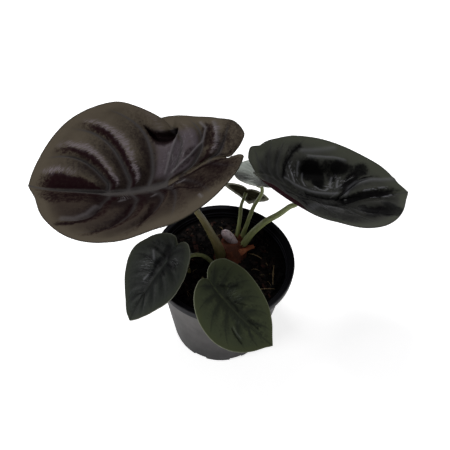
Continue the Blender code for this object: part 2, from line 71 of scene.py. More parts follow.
# Pot
POT_HEIGHT = 94.0
LIP_RADIUS = 57.0
LIP_HEIGHT = 6.5
LIP_ROUNDING = 1.2
FOOT_ROUNDING = 1.5
WALL_TOP_RADIUS = 53.6
BASE_RADIUS = 40.0
WALL = 1.4
FLOOR = 1.8
POT_STEPS = 160
DRAIN_SLOTS = 8
DRAIN_WIDTH = 11.0
DRAIN_HEIGHT = 4.0
DRAIN_INNER_RADIUS = 33.0
GROOVE_RADII = (31.0, 34.0)
GROOVE_DEPTH = 0.6
RING_HEIGHTS = (86.6, 89.6)

# Where the pot's plastic changes tone: up from the foot, where a painted shade darkens the wall towards the
# bottom, at the wall's collar and under the lip, then the painted highlight along the lip's top outer edge by
# its radius and height, and how far in the painted highlight on the inner rings reaches
FOOT_SHADE = (0.0, 85.0)
COLLAR_TONE = (78.5, 79.5)
LIP_TONE = (86.5, 87.8)
LIP_GLINT_RADII = (55.9, 56.6)
LIP_GLINT_HEIGHTS = (92.2, 93.2)
RING_RADII = (52.5, 52.2)

# Growing mix
SOIL_EDGE = 84.5
SOIL_RISE = 1.6
SOIL_REACH = 51.0
SOIL_GAP = 0.3

# Crown
CROWN_MIDDLE = (6.5, 15.0, 83.0)
CROWN_RADII = (13.0, 16.5, 9.0)
CROWN_CLEARANCE = 13.0
CUFF_THICKNESS = 0.5
SHEATH_TONE = (84.0, 100.0)

# The loose papery flap: where it leaves the crown, and its length, width and turn in degrees
FLAP_PLACE = (12.5, 9.5, 91.0)
FLAP_LENGTH = 13.0
FLAP_WIDTH = 6.5
FLAP_TURN = 28.0
FLAP_THICKNESS = 0.4

# The leaf bud's ends, and its radii at shares of its length
BUD_FOOT = (11.5, 18.5, 86.0)
BUD_TIP = (-2.6, 24.5, 99.0)
BUD_RADII = {0: 1.8, 0.22: 2.9, 0.5: 4.1, 0.76: 4.0, 0.92: 2.6, 1: 0.5}

# Bark chips, each kind with its number, its least and greatest length, and its darkest and lightest tone.
# Their middles lie in the field, and none reaches past the limit
CHIPS = dict(
    chips_dark=(620, (1.5, 6), (0.0012, 0.0009, 0.0008), (0.009, 0.006, 0.005)),
    chips_brown=(200, (2.5, 7), (0.01, 0.006, 0.0045), (0.15, 0.09, 0.065)),
    chips_red=(80, (2.5, 6.5), (0.03, 0.011, 0.008), (0.2, 0.09, 0.062)),
    chips_pale=(110, (0.7, 2.6), (0.06, 0.042, 0.032), (0.36, 0.28, 0.22)),
)
CHIPS_SEED = 11
CHIPS_FIELD = 48.0
CHIPS_LIMIT = 50.0

# Straws: those that lie in a set place, as both ends and a radius, then the strewn ones, which keep clear of
# the crown
LAID_STRAWS = (((41, 2), (40, -17), 0.5), ((20, 12), (31, 8), 0.4), ((30, -22), (42, -21), 0.4))
STRAWS_SEED = 5
STRAWS_TRIED = 44
STRAWS_FIELD = 44.0
STRAWS_LIMIT = 47.0
STRAWS_CLEAR_OF = (6.0, 15.0)
STRAWS_CLEARANCE = 16.0

# Lights, each with its place and size in metres and its power in watts, aimed at the plant's middle
LIGHTS = dict(
    key=((-0.3, 0.35, 1.25), 0.4, 8),
    left=((-0.85, -0.6, 0.9), 0.5, 4.2),
    fill=((0.9, -0.7, 1.0), 0.8, 1),
)
LIGHTS_AIM = (0, 0, 0.12)
FLOOR_GLOW = 0.77

# Blades, their rolled margin and ribs, how unevenly their slopes' tones run, and a stalk's last stretch up to
# its blade, with its flare there
BLADE_THICKNESS = 0.6
ROLL_WIDTH = 4.5
ROLL_RADIUS = 3.0
RIB_RISE = 0.45
WOBBLE = 0.02
KNEE = 4.5
STALK_FLARE = 1.25

# Directions from a blade's tip, in degrees, at which the radius of its half outlines is given
OUTLINE_ANGLES = (0, 7, 17, 35, 60, 88, 116, 140, 157, 169, 176, 180)

# A half blade's veins from the sinus round to the tip. Each has its root on the midrib as a share of the
# front length, the direction of its end from the tip in degrees, how far it bows to the leaf's base, and
# how near the midrib it bows most: 1 is halfway, and less is nearer
LARGE_LEFT_NEAR = (
    (-0.42, 180, 0, 1), (-0.26, 160, 0.06, 1), (-0.06, 134, 0.04, 1), (0.05, 96, 0.16, 0.8),
    (0.162, 52, 0.42, 0.55), (0.32, 31.5, 0.485, 0.53), (0.464, 18, 0.43, 0.78), (0.464, 0, 0, 1),
)
LARGE_LEFT_FAR = (
    (-0.42, 180, 0, 1), (-0.34, 150, 0.06, 1), (-0.12, 108, 0.3, 0.8), (0.02, 84, 0.3, 1),
    (0.127, 52, 0.23, 0.95), (0.228, 31, 0.211, 1.38), (0.369, 12.7, 0.222, 1.18), (0.464, 0, 0, 1),
)
LARGE_RIGHT_FAR = (
    (-0.42, 180, 0, 1), (-0.36, 150, 0.04, 1), (-0.28, 118, 0.08, 1), (-0.18, 98, 0.1, 0.8),
    (-0.02, 74, 0.2, 0.7), (0.27, 28, 0.02, 1), (0.33, 6.8, 0.172, 1.48), (0.38, 0, 0, 1),
)
LARGE_RIGHT_NEAR = (
    (-0.42, 180, 0, 1), (-0.32, 152, 0.04, 1), (-0.2, 124, 0.08, 1), (-0.06, 96, 0.12, 1),
    (0.08, 68, 0.14, 1), (0.24, 42, 0.16, 1), (0.38, 19, 0.44, 0.6), (0.38, 0, 0, 1),
)
SMALL_VEINS = (
    (-0.36, 180, 0, 1), (-0.24, 150, 0.06, 1), (-0.12, 112, 0.1, 1), (0, 72, 0.16, 0.8),
    (0.12, 44, 0.14, 0.8), (0.3, 24, 0.16, 1), (0.5, 10, 0.14, 1), (0.5, 0, 0, 1),
)
COMMON_OUTLINE = (1, 0.9, 0.8, 0.7, 0.6, 0.54, 0.54, 0.56, 0.57, 0.545, 0.49, 0.43)


def common_outline(length):
    return [share * length for share in COMMON_OUTLINE]


# Single folds of the blades: the points each goes through on the flat blade, its half width, and its height,
# which is below 0 for a groove
LARGE_LEFT_FOLDS = (
    (((2, 9), (-6, 12), (-13, 17), (-19, 22), (-29, 24)), 1.1, -0.9),
    (((71, 31), (62, 31), (54, 26), (49, 17)), 2.0, 0.5),
    (((33, 11), (30, 9)), 1.2, 0.7),
    (((10, 11), (8, 8)), 1.2, 0.7),
    (((-8, 8), (-12, 6)), 1.0, 0.5),
    (((-29, 36), (-27, 33)), 1.0, 0.5),
    (((8, 24), (8, 34), (14, 44)), 1.8, -0.8),
    (((24, 17), (26, 30), (36, 41), (47, 44)), 1.7, -0.8),
    (((46, 20), (50, 31), (62, 36), (74, 36)), 1.6, -0.6),
    (((1.5, -7), (-3, -19), (-7, -28), (-8, -34), (-5, -37)), 1.1, 0.6),
    (((-3, -6), (-17, -11), (-27, -18), (-31, -28), (-27, -35)), 1.0, 0.6),
    (((-37.5, -31), (-39.5, -21), (-38.5, -13)), 1.3, 1.5),
    (((-8.5, 0.6), (-16, 1.4), (-24, 3), (-31, 2.6), (-39, 1.8), (-44, 0.8)), 1.3, -0.4),
)
LARGE_RIGHT_FOLDS = (
    (((6, 43), (-3, 33.5), (-8.2, 22.5), (-12, 7)), 2.2, -1.0),
    (((-22, -18), (-12.6, -20.8), (-6.7, -18.6), (-0.7, -16)), 2.2, -1.3),
    (((8, 1.2), (14, 1.8), (26, 2), (38, 0)), 1.7, -1.3),
    (((-10, 7), (0, 5.6), (12, 5.4), (24, 6.6), (33, 6.2)), 1.4, 0.2),
    (((37, -2.5), (48.7, -1.8), (63.6, 1.5), (78.8, 4.6)), 2.3, -1.5),
    (((-14.5, -24), (-12.6, -29.8), (-12.4, -36)), 1.3, -0.7),
    (((-12.4, -36), (1, -25.5), (22, -22)), 3.0, 0.4),
    (((40, 4), (44, 9), (50, 12.5), (65, 15.5), (84, 14)), 1.7, 0.7),
    (((11, 33), (22.5, 35), (35, 36), (44.5, 34)), 1.6, 0.9),
    (((7, 38), (25.2, 43), (38, 46)), 2.4, 0.6),
    (((-3, 16), (-1.6, 8)), 0.8, 0.4),
    (((2.2, 26), (3.2, 17)), 0.8, 0.4),
    (((8.4, 21), (8.6, 10)), 0.8, 0.4),
    (((18, 13), (20.5, 10), (24.5, 9.2), (28, 12)), 0.8, 0.5),
    (((30.4, 13), (33.6, 22)), 0.8, 0.5),
    (((36, 13), (39, 20)), 0.8, 0.5),
    (((55, 4.6), (59.5, 5.2)), 0.6, 0.6),
    (((68, 7), (73, 7.6)), 0.6, 0.6),
    (((57, -4.2), (64, -3)), 0.6, 0.5),
    (((69, -1.8), (76.5, 0)), 0.6, 0.5),
)
SMALL_LEFT_FOLDS = (
    (((-12, -3), (-8, -4)), 1.6, -0.5),
    (((-2, -3.4), (3, -4)), 1.5, -0.5),
    (((7, -3.2), (10, -3)), 1.0, -0.4),
    (((-4, 4), (-4.5, 9)), 1.6, -0.6),
    (((3, 4), (4, 8)), 1.0, -0.3),
    (((12, -5), (17, -6)), 0.7, 0.35),
    (((-6, -13), (-1, -9)), 1.2, 0.4),
)
SMALL_FRONT_FOLDS = (
    (((-9, 5), (-3, 9), (1, 15)), 1.2, -0.6),
    (((1, 2.5), (8, 3), (14, 2.4)), 0.9, -0.35),
    (((24, 2.4), (34, 3)), 0.9, -0.3),
    (((8, 5), (15, 9)), 1.0, -0.3),
    (((17.5, -12), (21.5, -13.6), (30, -15)), 0.7, -0.9),
    (((17.5, -10.4), (22, -12), (27, -12.6)), 0.5, 0.4),
)


def puffed(height, skew=1.3, fullness=0.8, rise=3.0, fade=(0.5, 0.9), margin=0.15):
    """How one half of a blade puffs up between its veins.

    skew moves the crest to the tip, rise is how soon it comes up from the midrib, and fade is where it dies
    away to the margin. Height and skew are one number, or one for each area between veins from the sinus to
    the tip.
    """
    return dict(height=height, skew=skew, fullness=fullness, rise=rise, fade=fade, margin=margin)


# What most leaves share. Without a shift the midrib is straight
COMMON_LEAF = dict(
    veins=(SMALL_VEINS, SMALL_VEINS), folds=(), bumps=(), shifts=((-20, 50), (0, 0)),
    rolled_edge=None, hollow=None,
)
SMALL_LEAF = dict(
    COMMON_LEAF, valley=dict(depth=1.2, middle=4, spread=22, left=(0, 12), right=(0, 12)), columns=(18,) * 7,
    rows=44, radii=(2.0, 1.9, 1.6, 1.5, 1.4, 1.3), slot="leaf_green",
)
BACK_LEAF = dict(
    COMMON_LEAF, puff=(puffed(0.7), puffed(0.7)), columns=(12,) * 7, rows=28, slot="leaf_pale",
    valley=dict(depth=0.6, middle=3, spread=16, left=(0, 9), right=(0, 9)),
)

# Each leaf as in the solids: the blade's place, bends and outline, then the petiole's route, which keeps
# near the solid's. Left and right are as seen from the petiole to the tip. shifts moves the midrib sideways
# at each of its places, and valley sinks the blade's middle by a depth: round a middle and spread along it,
# and between two distances across it. bumps are low domes, each an oval with its place, half lengths and
# turn in degrees, and a height. rolled_edge says between which vein lines the right margin rolls up. columns
# and rows are the steps of the blade's mesh in each area between veins and on each half. radii are the
# petiole's, on its route and at the two points where it meets the blade
LEAVES = dict(
    large_left=dict(
        COMMON_LEAF,
        attach=(-43.7, 8.1, 175.0),
        heading=181.4, pitch=10.3, roll=-3.8,
        length=103, fold=(0.29, 0.29), curl=(-0.1, 0.23), droop=-0.12, back_droop=0.44, sweep=0.08,
        left=(103, 96, 92, 81, 64, 53, 54, 57, 59.5, 59, 54, 47),
        right=(103, 101, 98, 93, 79, 48.5, 47.5, 52, 58.5, 60, 54, 47),
        veins=(LARGE_LEFT_NEAR, LARGE_LEFT_FAR),
        puff=(
            puffed((1, 1.2, 1.6, 1.8, 2, 2.2, 2.4), 1.35, 0.8, 4, (0.66, 0.96), 0.1),
            puffed((2, 3, 3, 2.6, 4.2, 4.2, 4.6), (1, 0.65, 1, 1.5, 1.7, 1.3, 1.05), 0.72, 4,
                   (0.58, 0.92), 0.08),
        ),
        folds=LARGE_LEFT_FOLDS,
        shifts=((-47, -30, -17, -8, 2, 22, 45, 72, 103), (0, -7, -4, -2, 1.6, 0.6, -0.1, -3, 0)),
        valley=dict(depth=4.5, middle=12, spread=42, left=(0, 30), right=(0, 30)),
        hollow="pocket", columns=(16, 20, 26, 36, 34, 30, 34), rows=72,
        route=((-1.6, 6.8, 80), (-3.6, 7.2, 94), (-10.6, 7.6, 115), (-23, 7.7, 143), (-37, 8, 164)),
        radii=(4.9, 4.3, 3.0, 2.4, 2.0, 1.8, 1.7),
        slot="leaf_bronze",
    ),
    large_right=dict(
        COMMON_LEAF,
        attach=(56.5, 19.4, 158.0),
        heading=14.0, pitch=23.0, roll=-5.3,
        length=91.5, fold=(0.26, 0.27), curl=(0.06, 0.07), droop=-0.37, back_droop=0.65, sweep=-0.032,
        left=(91.5, 86.5, 82.5, 72.5, 61.5, 51.5, 46, 45.5, 50.5, 50, 45, 42),
        right=(91.5, 85, 79, 69.5, 58, 48, 48, 50, 52, 51, 47, 42),
        veins=(LARGE_RIGHT_FAR, LARGE_RIGHT_NEAR),
        puff=(puffed((1, 1.4, 1.6, 1.8, 1.4, 2.6, 1.8), 1.2, 0.7, 4, (0.5, 0.8), 0.1),
              puffed((0.6, 0.8, 0.8, 0.8, 0.8, 0.8, 1), 1.2, 0.7, 4, (0.55, 0.85), 0.1)),
        folds=LARGE_RIGHT_FOLDS, bumps=((56, -12, 24, 14, -5, 2.2),),
        shifts=((-42, -25, -8, 8, 24, 40, 60, 78, 91.5), (0, 8, 6, 3, 0.5, 2.7, 7, 4, 0)),
        valley=dict(depth=7, middle=16, spread=36, left=(16, 31), right=(0, 24)),
        rolled_edge=((0.4, 1.2), (1.9, 2.7)), hollow="basin", columns=(14, 16, 18, 22, 66, 26, 34), rows=70,
        route=((13, 15.5, 80), (16, 16.5, 94), (29.6, 16.8, 121), (41, 17.5, 132.4), (48, 18, 140.8),
               (53.2, 18.4, 146)),
        radii=(3.2, 2.9, 2.5, 2.3, 2.1, 1.9, 1.8, 1.7),
        slot="leaf_black",
    ),
    small_left=dict(
        SMALL_LEAF,
        attach=(-46.0, -23.1, 112.0),
        heading=232.3, pitch=34.5, roll=8.2,
        length=50.0, fold=(0.26, 0.24), curl=(-0.15, -0.09), droop=0.16, back_droop=0.44, sweep=-0.021,
        left=(50, 46, 41, 35, 31, 26.5, 25, 27, 27.5, 25.5, 22, 20),
        right=(50, 46, 39, 33, 29.5, 28.5, 26, 26, 26, 25, 22, 20),
        puff=(puffed(0.8, 1.1), puffed(0.8, 1.1)),
        folds=SMALL_LEFT_FOLDS,
        route=((-8, 2, 77), (-10, 0.6, 88), (-18.4, -3, 101), (-28, -10.5, 108)),
    ),
    small_front=dict(
        SMALL_LEAF,
        attach=(2.3, -54.4, 118.0),
        heading=-27.6, pitch=33.7, roll=6.6,
        length=51.5, fold=(0.15, 0.15), curl=(-0.22, -0.23), droop=0.03, back_droop=0.48, sweep=-0.03,
        left=(51.5, 47, 43, 37.5, 31.5, 28.5, 27.5, 28.5, 28, 25.5, 22.5, 20),
        right=(51.5, 47, 43.5, 38.5, 33, 29, 27.5, 27.5, 26.5, 24.5, 21.5, 20),
        puff=(puffed(0.7, 1.1), puffed(0.5, 1.1)),
        folds=SMALL_FRONT_FOLDS,
        route=((1, -3, 77), (1, -7.5, 89), (0.5, -20, 101), (0, -37, 109)),
    ),
    back_upper=dict(
        BACK_LEAF,
        attach=(23.1, 31.1, 157.0),
        heading=103.5, pitch=21.1, roll=11.4,
        length=35.4, fold=(0.16, 0.07), curl=(-0.19, -0.21), droop=0.06, back_droop=0.34, sweep=-0.021,
        left=common_outline(35.4), right=common_outline(35.4),
        route=((12, 21.5, 80), (14.2, 25, 92), (16.4, 27, 101), (20.9, 29.5, 123), (26.2, 30, 148)),
        radii=(2.3, 2.1, 1.8, 1.6, 1.4, 1.3, 1.3),
    ),
    back_lower=dict(
        BACK_LEAF,
        attach=(15.5, 49.3, 121.0),
        heading=73.6, pitch=53.6, roll=4.5,
        length=36.5, fold=(0.12, 0.15), curl=(-0.28, -0.28), droop=0.39, back_droop=0.27, sweep=0.053,
        left=common_outline(36.5), right=common_outline(36.5),
        route=((7.6, 22.5, 80), (10, 26.5, 91), (11.6, 37, 105), (12, 42, 112)),
        radii=(2.1, 1.9, 1.6, 1.4, 1.2, 1.2),
    ),
)

# The leaves whose stalks rise from the crown, those with a paler stalk, and the two shoots, each with its
# place, radius and height
CROWN_LEAVES = ("large_left", "large_right", "back_upper", "back_lower")
PALE_STALKS = ("large_right", "small_left", "back_upper", "back_lower")
NUBS = ((-27.1, -8.6, 1.7, 5.0), (-15.4, -16.6, 2.0, 6.0))

# The pinched pocket in the left blade's far half: a pit under the margin, which leans over it. Its edge runs
# along the blade in a bow. The pit lies between that edge and the midrib, and has a width at each of its
# places along the blade
POCKET_EDGE = -37.4
POCKET_MIDDLE = -5.0
POCKET_BOW = 0.022
POCKET_ENDS = ((-9.0, -5.0), (10.0, 16.0))
PIT_PLACES = (-10.0, -7.0, -4.0, 1.0, 6.0, 10.0, 14.0, 18.0)
PIT_WIDTHS = (1.0, 8.0, 10.8, 12.0, 11.6, 9.0, 4.5, 1.0)
PIT_DEPTH = 8.0
LEAN_SHIFT = 2.0
LEAN_RISE = 2.0

# The dark glossy basin in the right blade's far half: its rim, its steep wall and how deep it is
RIM_PLACE = 29.5
RIM_SLANT = 0.1
BASIN_ENDS = ((-3.0, 12.0), (38.0, 52.0))
BASIN_WALL = (-0.5, 9.0)
BASIN_RAMP = (12.0, 28.0)
BASIN_DEPTH = 5.0
RIM_RISE = 0.8


# Materials

class Nodes:
    """The nodes of one material or world, and short ways to add the few kinds that are used here."""

    def __init__(self, owner):
        owner.use_nodes = True
        self.owner = owner
        self.tree = owner.node_tree

    def feed(self, socket, value):
        """Links another node's output to a socket, or sets a plain value on it."""
        if isinstance(value, bpy.types.NodeSocket):
            self.tree.links.new(value, socket)
        else:
            socket.default_value = (*value, 1) if socket.type == "RGBA" else value

    def put(self, kind, inputs=None, **settings):
        """Adds a node, sets its properties and feeds its inputs."""
        made = self.tree.nodes.new(f"ShaderNode{kind}")
        for name, value in settings.items():
            setattr(made, name, value)
        for name, value in (inputs or {}).items():
            self.feed(made.inputs[name], value)
        return made

    def place(self):
        """Each point's place in the frame, in metres."""
        return self.put("TexCoord").outputs["Object"]

    def field(self, name, output="Fac"):
        """What the mesh carries at each point under a name."""
        return self.put("Attribute", attribute_name=name, attribute_type="GEOMETRY").outputs[output]

    def texture(self, scale, detail=4.0, rough=0.6, stretch=None, distortion=0.0, vector=None):
        """A noise field from 0 to 1, with about scale lumps to a metre, or to a unit of the given vector."""
        vector = vector or self.place()
        if stretch:
            vector = self.put("Mapping", {"Vector": vector, "Scale": stretch}).outputs[0]
        inputs = {"Vector": vector, "Scale": scale, "Detail": detail, "Roughness": rough}
        return self.put("TexNoise", {**inputs, "Distortion": distortion}).outputs["Fac"]

    def ranged(self, value, low, high, to_low=0.0, to_high=1.0):
        inputs = {"Value": value, "From Min": low, "From Max": high, "To Min": to_low, "To Max": to_high}
        return self.put("MapRange", inputs).outputs["Result"]

    def math(self, operation, *values):
        made = self.put("Math", operation=operation)
        for socket, value in zip(made.inputs, values):
            self.feed(socket, value)
        return made.outputs[0]

    def times(self, a, b):
        return self.math("MULTIPLY", a, b)

    def mixed(self, factor, a, b):
        """Colour a where the factor is 0 and b where it is 1."""
        made = self.put("Mix", data_type="RGBA")
        for index, value in ((0, factor), (6, a), (7, b)):
            self.feed(made.inputs[index], value)
        return made.outputs[2]

    def uneven(self, texture, low, high, most, a, b):
        """Colour a where a texture is below low, and the share most of b mixed in where it is above high."""
        return self.mixed(self.ranged(texture, low, high, 0, most), a, b)

    def finish(self, colour, rough, specular, bumps=(), more=None):
        """Completes a material. Bumps are chained, each as its height, strength and depth in mm."""
        shader = self.tree.nodes["Principled BSDF"]
        values = {"Base Color": colour, "Roughness": rough, "Specular IOR Level": specular, **(more or {})}
        for height, strength, depth in bumps:
            inputs = {"Height": height, "Strength": strength, "Distance": depth * MM}
            if "Normal" in values:
                inputs["Normal"] = values["Normal"]
            values["Normal"] = self.put("Bump", inputs).outputs["Normal"]
        for name, value in values.items():
            self.feed(shader.inputs[name], value)
        return self.owner


def new_material(name):
    return Nodes(bpy.data.materials.new(name))


def leaf_material(name, look):
    """A blade's upper face, coloured by the fields that its mesh carries."""
    nodes = new_material(name)
    broad = nodes.texture(45, 3)
    fine = nodes.texture(1300, 3, 0.7)
    grain = nodes.texture(420, 5, 0.75)
    on_blade = nodes.field("strokes", "Vector")
    strokes = nodes.texture(1.2, 4, 0.75, vector=on_blade)
    streaks = nodes.texture(1.4, 3, 0.6, (0.22, 2.6, 1), vector=on_blade)
    # Each layer is a field, the tone it mixes in, the texture that makes it uneven, the texture's range, the
    # tone's least part, its share, and how ragged the texture makes the field's edge. shaded_half and shade
    # are painted shade, steep and patch are partly painted shade, patch also painted dark reflection, and
    # crest, light and painted_glint are painted sheen and highlights
    layers = (
        ("shaded_half", "near", broad, 0.3, 0.7, 0.7, look["shaded_half_share"], 0),
        ("shade", "shade", grain, 0.3, 0.6, 0.75, look["shade_share"], 1.5),
        ("plate", "plate", grain, 0.25, 0.6, 0.5, 1, 0),
        ("border", "border", broad, 0.2, 0.6, 0.6, 1, 0),
        ("steep", "steep", grain, 0.25, 0.5, 0.85, 1, 3),
        ("crest", "crest", strokes, 0.38, 0.6, 0.25, 1, 3.2),
        ("rib", "rib", grain, 0.3, 0.6, 0.85, look["rib_share"], 0),
        ("patch", "patch", grain, 0.25, 0.55, 0.94, look["patch_share"], 2),
        ("light", "light", fine, 0.3, 0.6, 0.7, look["light_share"], 0),
        ("painted_glint", "light", streaks, 0.53, 0.66, 0, look["light_share"], 0),
        ("rim", "rim", grain, 0.3, 0.6, 0.7, look["rim_share"], 0),
    )
    colour = nodes.uneven(broad, 0.35, 0.65, 1, look["base"], look["base_too"])
    for label, tone, texture, low, high, least, share, ragged in layers:
        amount = nodes.field(label)
        if ragged:
            edge = nodes.times(amount, nodes.math("SUBTRACT", 1.0, amount))
            swing = nodes.ranged(texture, 0.3, 0.7, -ragged, ragged)
            amount = nodes.math("ADD", amount, nodes.times(edge, swing))
            amount.node.use_clamp = True
        amount = nodes.times(amount, nodes.ranged(texture, low, high, least * share, share))
        colour = nodes.mixed(amount, colour, look[tone])
    rough = nodes.ranged(nodes.field("gloss"), 0, 1, look["rough"], look["rough_gloss"])
    rough = nodes.math("ADD", rough, nodes.ranged(grain, 0.3, 0.7, -0.03, 0.05))
    bumps = [(grain, look["grain"], 0.5), (fine, look["grain"] * 0.6, 0.12)]
    return nodes.finish(colour, rough, look["specular"], bumps)


def under_material(name, look):
    """A blade's lower face."""
    nodes = new_material(name)
    grain = nodes.texture(700, 4, 0.7)
    colour = nodes.uneven(nodes.texture(60, 4), 0.35, 0.65, 1, look["under"], look["under_too"])
    for label, share in (("rib", 0.75), ("border", 0.7)):
        colour = nodes.mixed(nodes.times(nodes.field(label), share), colour, look[f"under_{label}"])
    rough = nodes.ranged(grain, 0.3, 0.7, 0.44, 0.56)
    return nodes.finish(colour, rough, look["under_specular"], [(grain, 0.25, 0.3)])


def petiole_material(name, base, base_too, pale):
    """Satin stem with fine lengthwise streaks and a paler flush."""
    nodes = new_material(name)
    streak = nodes.texture(700, 3, 0.6, stretch=(1, 1, 0.06))
    speck = nodes.texture(1400, 2, 0.5)
    colour = nodes.uneven(nodes.texture(55, 3), 0.35, 0.65, 1, base, base_too)
    colour = nodes.uneven(streak, 0.45, 0.75, 0.55, colour, pale)
    flesh = {"Subsurface Weight": 0.06, "Subsurface Radius": (0.003, 0.003, 0.001)}
    bumps = [(streak, 0.35, 0.2), (speck, 0.15, 0.08)]
    return nodes.finish(colour, nodes.ranged(streak, 0.3, 0.7, 0.36, 0.5), 0.3, bumps, flesh)


def plastic_material():
    """Moulded black plastic: a dark glossy lip and inside, and a scuffed outer wall that is painted grayer
    where light falls on it, with a painted shade that darkens it towards the foot.
    """
    nodes = new_material("pot_plastic")
    place = nodes.put("SeparateXYZ", {"Vector": nodes.place()}).outputs
    height = place["Z"]
    radius = nodes.math("SQRT", nodes.math("ADD", *(nodes.math("POWER", place[axis], 2.0) for axis in "XY")))
    slope = (WALL_TOP_RADIUS - BASE_RADIUS) / POT_HEIGHT
    wall = nodes.math("MULTIPLY_ADD", height, slope, (BASE_RADIUS - WALL / 2) * MM)

    def between(value, limits, *shares):
        """A measure's way between two limits in mm, from 0 to 1 or from one given share to the other."""
        return nodes.ranged(value, limits[0] * MM, limits[1] * MM, *shares)

    outside = between(nodes.math("SUBTRACT", radius, wall), (-0.2, 0.2))
    body = nodes.times(outside, between(height, LIP_TONE, 1, 0))
    scuff = nodes.texture(160, 6, 0.7, stretch=(1, 1, 0.25))
    # Painted light: the outer wall is painted gray where light falls on it, darker towards the foot as
    # painted shade
    lit_gray = nodes.uneven(nodes.texture(38), 0.35, 0.7, 1, (0.088, 0.083, 0.082), (0.145, 0.137, 0.134))
    lit_gray = nodes.uneven(scuff, 0.55, 0.8, 0.4, lit_gray, (0.12, 0.113, 0.108))
    lit_gray = nodes.mixed(between(height, FOOT_SHADE), (0.018, 0.017, 0.017), lit_gray)
    lit_gray = nodes.mixed(between(height, COLLAR_TONE), lit_gray, (0.036, 0.035, 0.035))
    # Painted highlight along the lip's top outer edge
    lip_glint = nodes.times(between(radius, LIP_GLINT_RADII), between(height, LIP_GLINT_HEIGHTS))
    black = nodes.mixed(lip_glint, (0.0065, 0.0065, 0.0085), (0.035, 0.035, 0.038))
    # Painted bluish highlight on the inner rings
    for ring in RING_HEIGHTS:
        away = nodes.math("ABSOLUTE", nodes.math("SUBTRACT", height, ring * MM))
        near = nodes.times(between(away, (0.3, 0.7), 1, 0), between(radius, RING_RADII))
        black = nodes.mixed(near, black, (0.035, 0.036, 0.045))
    rough = nodes.math("ADD", nodes.ranged(scuff, 0.3, 0.7, 0.33, 0.45), nodes.times(body, 0.15))
    bumps = [(nodes.texture(1100, 3), 0.12, 0.06), (scuff, 0.1, 0.1)]
    return nodes.finish(nodes.mixed(body, black, lit_gray), rough, 0.07, bumps)


def soil_material():
    nodes = new_material("mix_dark")
    lumps = nodes.texture(260, 8, 0.75)
    grit = nodes.texture(1300, 5, 0.8)
    colour = nodes.uneven(lumps, 0.35, 0.7, 1, (0.001, 0.0008, 0.0008), (0.005, 0.0036, 0.003))
    colour = nodes.uneven(grit, 0.66, 0.78, 0.8, colour, (0.03, 0.02, 0.014))
    return nodes.finish(colour, 0.85, 0.1, [(lumps, 0.9, 1.2), (grit, 0.7, 0.5)])


def bark_material(name, dark, light):
    """Bark with fibres along it. Each chip carries its own tone."""
    nodes = new_material(name)
    fibre = nodes.texture(900, 5, 0.7, stretch=(1, 0.35, 1))
    blotch = nodes.texture(300)
    colour = nodes.mixed(nodes.field("tone"), dark, light)
    colour = nodes.uneven(blotch, 0.4, 0.7, 0.6, colour, dark)
    colour = nodes.uneven(fibre, 0.6, 0.8, 0.35, colour, light)
    return nodes.finish(colour, 0.75, 0.15, [(fibre, 0.7, 0.4), (blotch, 0.4, 0.5)])


def sheath_material(name, low, high, dry):
    """Papery sheath: fibres that run up it, darker low down, with dry pale streaks."""
    nodes = new_material(name)
    height = nodes.put("SeparateXYZ", {"Vector": nodes.place()}).outputs["Z"]
    fibre = nodes.texture(900, 6, 0.7, stretch=(1, 1, 0.12))
    blotch = nodes.texture(140, 4, 0.65)
    colour = nodes.uneven(height, SHEATH_TONE[0] * MM, SHEATH_TONE[1] * MM, 1, low, high)
    colour = nodes.uneven(blotch, 0.45, 0.7, 0.7, colour, dry)
    colour = nodes.uneven(fibre, 0.5, 0.68, 0.7, colour, [0.3 * value for value in low])
    rough = nodes.ranged(fibre, 0.3, 0.7, 0.42, 0.65)
    return nodes.finish(colour, rough, 0.15, [(fibre, 1.0, 0.7), (blotch, 0.6, 1.2)])


def bud_material():
    nodes = new_material("bud_skin")
    vein = nodes.texture(420, stretch=(1, 1, 0.2), distortion=0.4)
    colour = nodes.uneven(nodes.texture(220, 3), 0.35, 0.65, 1, (0.52, 0.42, 0.45), (0.66, 0.57, 0.6))
    colour = nodes.uneven(vein, 0.5, 0.66, 0.8, colour, (0.1, 0.04, 0.05))
    flesh = {"Subsurface Weight": 0.1, "Subsurface Radius": (0.003, 0.002, 0.002)}
    return nodes.finish(colour, 0.38, 0.5, [(vein, 0.3, 0.25)], flesh)


def plain_material(name, colour, colour_too, rough, scale):
    nodes = new_material(name)
    blotch = nodes.texture(scale, 4, 0.65)
    tone = nodes.uneven(blotch, 0.35, 0.65, 1, colour, colour_too)
    rough = nodes.ranged(blotch, 0.3, 0.7, rough - 0.05, rough + 0.05)
    return nodes.finish(tone, rough, 0.5, [(blotch, 0.3, 0.3)])
